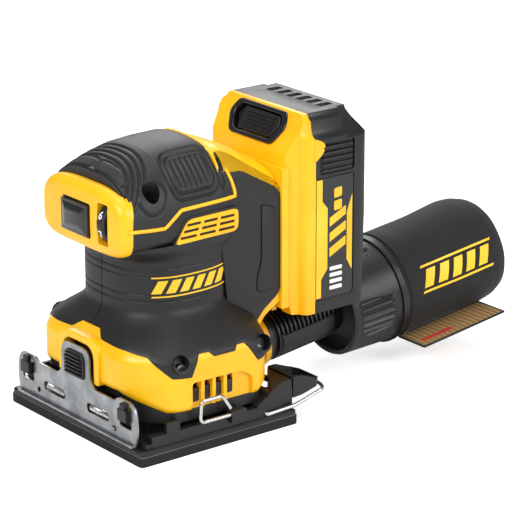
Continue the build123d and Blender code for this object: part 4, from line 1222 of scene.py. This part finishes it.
def bag_surface(distance, bearing, proud=0):
    """The sewn bag: a cloth tube over its wire frame, a little slack, and gathered at the end."""
    radius = along(BAG_PROFILE, distance) if distance < 144 else straight(BAG_PROFILE, distance)
    loose = 0.6 * smooth(88, 104, distance)
    sag = 0.9 * math.sin(3 * bearing + 0.06 * distance) + 0.6 * math.sin(5 * bearing - 0.11 * distance + 1.3)
    sag += 0.5 * math.sin(0.16 * distance + 2 * math.sin(2 * bearing))
    hollow = -0.9 * loose * smooth(148, 132, distance) * smooth(-0.2, 0.9, math.sin(bearing + 0.4))
    radius += (0.55 * sag * loose + hollow) * min(1, radius / 20) + proud
    return dust_point(distance, max(radius, 0), bearing)


def make_bag():
    """The cloth bag with its hem, its seam and a printed pattern of bars."""
    rows = 110
    stations = []
    length = 0
    for (t0, r0), (t1, r1) in zip(BAG_PROFILE, BAG_PROFILE[1:]):
        length += math.hypot(t1 - t0, r1 - r0)
        stations.append((length, t1))

    def place(u, v):
        walked = v * length
        previous = (0, BAG_PROFILE[0][0])
        distance = BAG_PROFILE[-1][0]
        for station in stations:
            if walked <= station[0]:
                share = (walked - previous[0]) / (station[0] - previous[0])
                distance = previous[1] + (station[1] - previous[1]) * share
                break
            previous = station
        return bag_surface(distance, 2 * math.pi * u)

    bag = wrap("cloth_bag", 200, rows, place)
    modify(bag, "SOLIDIFY", thickness=0.8 * MM, offset=-1)
    around = 2 * math.pi * 29.3 * MM
    for layer in bag.data.uv_layers:
        for spot in layer.data:
            spot.uv = (spot.uv[0] * around, spot.uv[1] * length * MM)
    fit(bag, "dust_bag", "bag_cloth", bag_cloth, "bag_fabric")

    seam = [bag_surface(88.4, 2 * math.pi * step / 96, 0.1) for step in range(96)]
    hem = rod("bag_hem", seam, 0.5, ring=True, resolution=3)
    fit(hem, "dust_bag", "bag_cloth", bag_cloth)
    side_seam = [bag_surface(89 + 56 * step / 40, math.radians(-118), 0.2) for step in range(41)]
    fit(rod("bag_seam", side_seam, 0.6, resolution=3), "dust_bag", "bag_cloth", bag_cloth)

    def bar_place(start, stop, low, high, lean):
        def place(u, v):
            bearing = math.radians(low + (high - low) * v)
            return bag_surface(start + (stop - start) * u + lean * (v - 0.5), bearing, 0.3)
        return place

    bars = [bar_place(98.4, 147.6, 27.6, 30, 1), bar_place(96.6, 145.8, 0.6, 3, 1)]
    for number in range(5):
        start = 99.6 + 9.5 * number
        bars.append(bar_place(start, start + 6, 6, 24.6, 4))
    fit(printed("bag_print", bars, 40, 12, 0.25), "dust_bag", "bag_cloth", yellow_ink)


make_rear_block()
make_battery()
make_dust_tube()
make_dust_cup()
make_bag()


# ======== sanding pad and clamps ========

PAD_HALF = (57.5, 48)
FOAM_TOP = 5
DUST_HOLES = [(x, y) for x in (-42, -20, 20, 42) for y in (-15, 15)] + [(0, -31), (0, 31)]


def make_pad():
    """The foam pad with its dust holes, and a light grey sheet on it whose edge paints the highlight along
    the platen's lower edge.
    """
    half_x, half_y = PAD_HALF
    outline = round_outline([(-half_x, -half_y), (half_x, -half_y), (half_x, half_y), (-half_x, half_y)], 2.6)
    pad = plate("foam_face", outline, 0, FOAM_TOP - 0.3, "Z")
    for x, y in DUST_HOLES:
        cut(pad, peg("tool", (x, y, -2), (x, y, 8), 4, sides=32))
    soften(pad, 0.5, 3, 50)
    fit(pad, "platen", "foam", foam, "foam_pad")
    # painted highlight: a thin light grey sheet on the foam paints the bright line along the platen's lower
    # edge
    inset = round_outline([(0.25 - half_x, 0.25 - half_y), (half_x - 0.25, 0.25 - half_y),
                           (half_x - 0.25, half_y - 0.25), (0.25 - half_x, half_y - 0.25)], 2.4)
    sheet = plate("seam_highlight_sheet", inset, FOAM_TOP - 0.3, 0.3, "Z")
    for x, y in DUST_HOLES:
        cut(sheet, peg("tool", (x, y, 2), (x, y, 8), 4, sides=32))
    fit(sheet, "platen", "foam", seam_highlight_grey)


CLAMP_FRONT = -46.6


def make_front_clamp():
    """The pressed plate with its tab, windows and slots, and the ribbed lever cap."""
    points = [(-50.5, 8), (50.5, 8), (52.4, 17), (50.5, 30), (36, 30), (33.5, 27.5), (15.5, 27.5),
              (12, 31.5), (12, 46.6), (-12, 46.6), (-12, 31.5), (-15.5, 27.5), (-33.5, 27.5),
              (-36, 30), (-50.5, 30), (-52.4, 17)]
    radii = [1.5, 1.5, 6, 7, 2, 2, 4, 4, 7.5, 7.5, 4, 4, 2, 2, 7, 6]
    face = plate("clamp_face", round_outline(points, radii, 6), CLAMP_FRONT, 1.2, "Y")
    lip = block("lip", (-50, -48.6, 8), (50, -45.6, 9.2))
    combine(face, "UNION", lip)
    for side in (-1, 1):
        window = round_outline([(side * 42.5 - 5, 16), (side * 42.5 + 5, 16), (side * 42.5 + 5, 28),
                                (side * 42.5 - 5, 28)], 1.6)
        slot = round_outline([(side * 19 - 9.5, 14.5), (side * 19 + 9.5, 14.5), (side * 19 + 9.5, 19.5),
                              (side * 19 - 9.5, 19.5)], 2.4)
        cut(face, plate("tool", window, -50, 8, "Y"), plate("tool", slot, -50, 8, "Y"))
        cut(face, peg("tool", (side * 33, -50, 13), (side * 33, -42, 13), 1.6, sides=24))
    soften(face, 0.4, 3, 50)
    fit(face, "front_clamp", "clamp_steel", clamp_steel, "front_clamp_plate")

    hooks = []
    for side in (-1, 1):
        x = side * 42.5
        hooks.append(block("hook", (x - 3, -48.2, 19), (x + 3, -45.6, 25.5), 0.7, 3))
        hooks.append(block("hook", (x - 1.9, -48.8, 24), (x + 1.9, -45.8, 29.2), 0.7, 3))
    fit(together("clamp_hooks", hooks), "platen", "black_nylon", black_nylon)

    base = plate("lever_cap", round_outline([(-8.3, 30.2), (8.3, 30.2), (8.3, 40.4), (6.2, 43.6),
                                             (-6.2, 43.6), (-8.3, 40.4)], [1.5, 1.5, 2, 2.5, 2.5, 2]),
                 -47.6, 1, "Y")
    soften(base, 0.4, 3, 50)
    ribs = [base]
    for row in range(6):
        height = 31.9 + 1.95 * row
        half = 6.9 - 0.9 * max(0, row - 4)
        ribs.append(block("rib", (-half, -48.9, height - 0.52), (half, -47.2, height + 0.52), 0.42, 3))
    fit(together("lever_cap", ribs), "front_clamp", "black_nylon", black_nylon, "front_clamp_grip")


def coil(name, start, end, radius, wire, turns):
    """A helical spring along X from start to end."""
    steps = turns * 18
    points = []
    for step in range(steps + 1):
        share = step / steps
        turn = 2 * math.pi * turns * share
        points.append((start[0] + (end[0] - start[0]) * share, start[1] + radius * math.cos(turn),
                       start[2] + radius * math.sin(turn)))
    return rod(name, points, wire, resolution=2)


def make_springs():
    """Torsion springs behind the clamp's slots, and the rear spring wires."""
    coils = []
    for side in (-1, 1):
        coils.append(coil("coil", (side * 11, -44.1, 16.6), (side * 27, -44.1, 16.6), 1.75, 0.42, 13))
    fit(together("torsion_coils", coils), "platen", "spring_steel", spring_steel, "clamp_springs")
    route = fillet_path([(52.6, 30, 9.3), (56.5, 28.4, 9), (56.6, 47, 9.9), (55.6, 65.6, 14.2),
                         (51, 67, 15), (36.5, 66.6, 15)], 3.5)
    wire = rod("rear_wire", route, 0.95)
    fit(both_sides("rear_clamp_wires", wire), "platen", "spring_steel", spring_steel, "rear_spring_wires")


def make_rear_levers():
    """The black dished thumb levers of the rear clamp."""
    levers = []
    side_view = round_outline([(46.8, 13), (53, 13.6), (64.6, 16.6), (65.8, 19.2), (60.5, 20.6), (51.6, 24),
                               (46.8, 24)], [0.6, 2, 1.2, 1.2, 2, 1.4, 0.6])
    lever = plate("lever", side_view, 34, 20.8, "X")
    plan = round_outline([(35.8, 48.6), (53, 48.6), (53, 61), (49, 64), (39, 64), (35.8, 61)], 1.4)
    bowl = plate("tool", plan, 15.8, 20, "Z")
    cut(lever, bowl)
    corner = plate("tool", [(56, 60.5), (56, 70), (47.5, 70), (50.5, 66.2)], 0, 40, "Z")
    inner = plate("tool", [(33, 60.5), (33, 70), (41.3, 70), (38.3, 66.2)], 0, 40, "Z")
    cut(lever, corner, inner)
    soften(lever, 0.55, 3, 40)
    levers.append(lever)
    for y in (53, 57):
        levers.append(block("rib", (42, y, 14.2), (48.6, y + 0.9, 17), 0.3, 2))
    fit(both_sides("thumb_levers", together("thumb_lever", levers)), "rear_clamp", "black_nylon",
        black_nylon, "rear_paddles")

    corner = plate("corner_block", round_outline([(55, 30.4), (55, 46), (34.6, 46), (54, 32.6)],
                                                 [1.5, 1, 1, 0.6]), 9.8, 13.4, "Z")
    slope = plate("tool", [(24, 15), (33, 19.4), (39.5, 23.6), (39.5, 40), (24, 40)], 30, 30, "X")
    cut(corner, slope)
    low = plate("low", round_outline([(24, 9.8), (24, 14), (32, 18.4), (46, 18.4), (46, 9.8)],
                                     [0, 1, 2, 0, 0]), 47, 8, "X")
    combine(corner, "UNION", low)
    soften(corner, 0.5, 3, 40)
    fit(both_sides("corner_blocks", corner), "platen", "black_nylon", black_nylon)


TAG_SPAN = (84.5, 141.5)       # along the dust axis
TAG_ACROSS = (-10.2, 10.2)
TAG_PIVOT, TAG_DROP = 29.9, -22.8


def make_tag():
    """The card tag under the bag: kraft card with a black binding and a red stripe."""
    start, stop = TAG_SPAN
    near, far = TAG_ACROSS
    card = block("tag_card", (near, start, -0.35), (far, stop, 0.35))
    stripe = block("tag_stripe", (far - 8, start + 4, -0.45), (far - 4.8, start + 25, 0.45), 0.1, 1)
    edge = rod("tag_binding", fillet_path([(near, start + 4, 0), (near, start, 0), (far, start, 0),
                                           (far, stop, 0), (near, stop, 0), (near, start + 4, 0)], 0.6),
               0.62, resolution=3)
    turn = Matrix((AXES["X"], DUST_WAY, DUST_UP)).transposed().to_4x4()
    spot = Matrix.Translation((DUST_START + DUST_UP * TAG_DROP + AXES["X"] * TAG_PIVOT) * MM)
    for piece in (card, stripe, edge):
        piece.data.transform(spot @ turn)
    fit(card, "dust_bag", "card", kraft_card, "bag_tag")
    fit(stripe, "dust_bag", "card", red_ink)
    fit(edge, "dust_bag", "card", bag_cloth)


make_pad()
make_front_clamp()
make_springs()
make_rear_levers()
make_tag()


# ======== CAD nodes that show as they are ========

NODE_FINISHES = {
    "clamp_steel": clamp_steel, "spring_steel": spring_steel, "shaft_steel": shaft_steel, "foam": foam,
    "copper": copper, "lamination": lamination, "zinc": zinc, "contact_brass": brass, "card": kraft_card,
    "label": label_film, "cell_sleeve": cell_sleeve, "board": board, "black_nylon": black_nylon,
    "yellow_nylon": yellow_nylon, "black_overmould": black_rubber, "gloss_black": gloss_black,
    "bag_cloth": bag_cloth,
}


def dress_nodes():
    """Each CAD node left in view takes the finish that its material slot names."""
    slots = {part["node"]: part["material_slot"] for part in frame["record"]["subparts"]}
    for name, node in frame["nodes"].items():
        finish_with(node, NODE_FINISHES[slots[name]])


dress_nodes()


# ======== studio ========

def make_studio():
    """A pale floor that looks lit from below, four soft lights and the camera."""
    bpy.ops.object.select_all(action="DESELECT")
    bpy.ops.mesh.primitive_plane_add(size=12, location=(0, 0, 0))
    floor = bpy.context.object
    floor.name = "floor"
    material, tree, shader, place = new_finish("pale_matt_floor", Roughness=0.7)
    cloud = add(tree, "ShaderNodeTexNoise", {"Scale": 2}, {"Vector": place.outputs["Object"]})
    tree.links.new(spread(tree, cloud.outputs["Fac"], (0.3, "#F1F1F1"), (0.7, "#F6F6F6")),
                   shader.inputs["Base Color"])
    view = add(tree, "ShaderNodeLightPath")
    glow = add(tree, "ShaderNodeMath", {"operation": "MULTIPLY", 1: 0.62}, {0: view.outputs["Is Camera Ray"]})
    shader.inputs["Emission Color"].default_value = colour("#FFFFFF")
    tree.links.new(glow.outputs["Value"], shader.inputs["Emission Strength"])
    finish_with(floor, material)

    world = bpy.data.worlds.new("studio")
    bpy.context.scene.world = world
    world.use_nodes = True
    world.node_tree.nodes["Background"].inputs["Color"].default_value = (1, 1, 1, 1)
    world.node_tree.nodes["Background"].inputs["Strength"].default_value = 0.3

    aim = Vector((0, 0.05, 0.07))
    lights = [("key_light", (0.35, -1.1, 1), 0.7, 14), ("side_light", (1.3, 0.55, 0.75), 0.8, 12),
              ("rim_light", (-1, 0.7, 0.9), 0.8, 9), ("top_light", (0, 0.1, 1.6), 1, 9)]
    for name, spot, size, power in lights:
        bpy.ops.object.light_add(type="AREA", location=spot)
        lamp = bpy.context.object
        lamp.name = name
        lamp.data.size = size
        lamp.data.energy = power
        lamp.rotation_mode = "QUATERNION"
        lamp.rotation_quaternion = (aim - Vector(spot)).to_track_quat("-Z", "Y")

    bpy.ops.object.camera_add(location=(1.0005, -0.7094, 0.4837))
    camera = bpy.context.object
    camera.rotation_mode = "QUATERNION"
    camera.rotation_quaternion = (Vector((0.0164, 0.0589, 0.0704)) - camera.location).to_track_quat("-Z", "Y")
    camera.data.sensor_width = 36
    camera.data.lens = 176.6
    bpy.context.scene.camera = camera
    bpy.context.scene.view_settings.view_transform = "Standard"


make_studio()
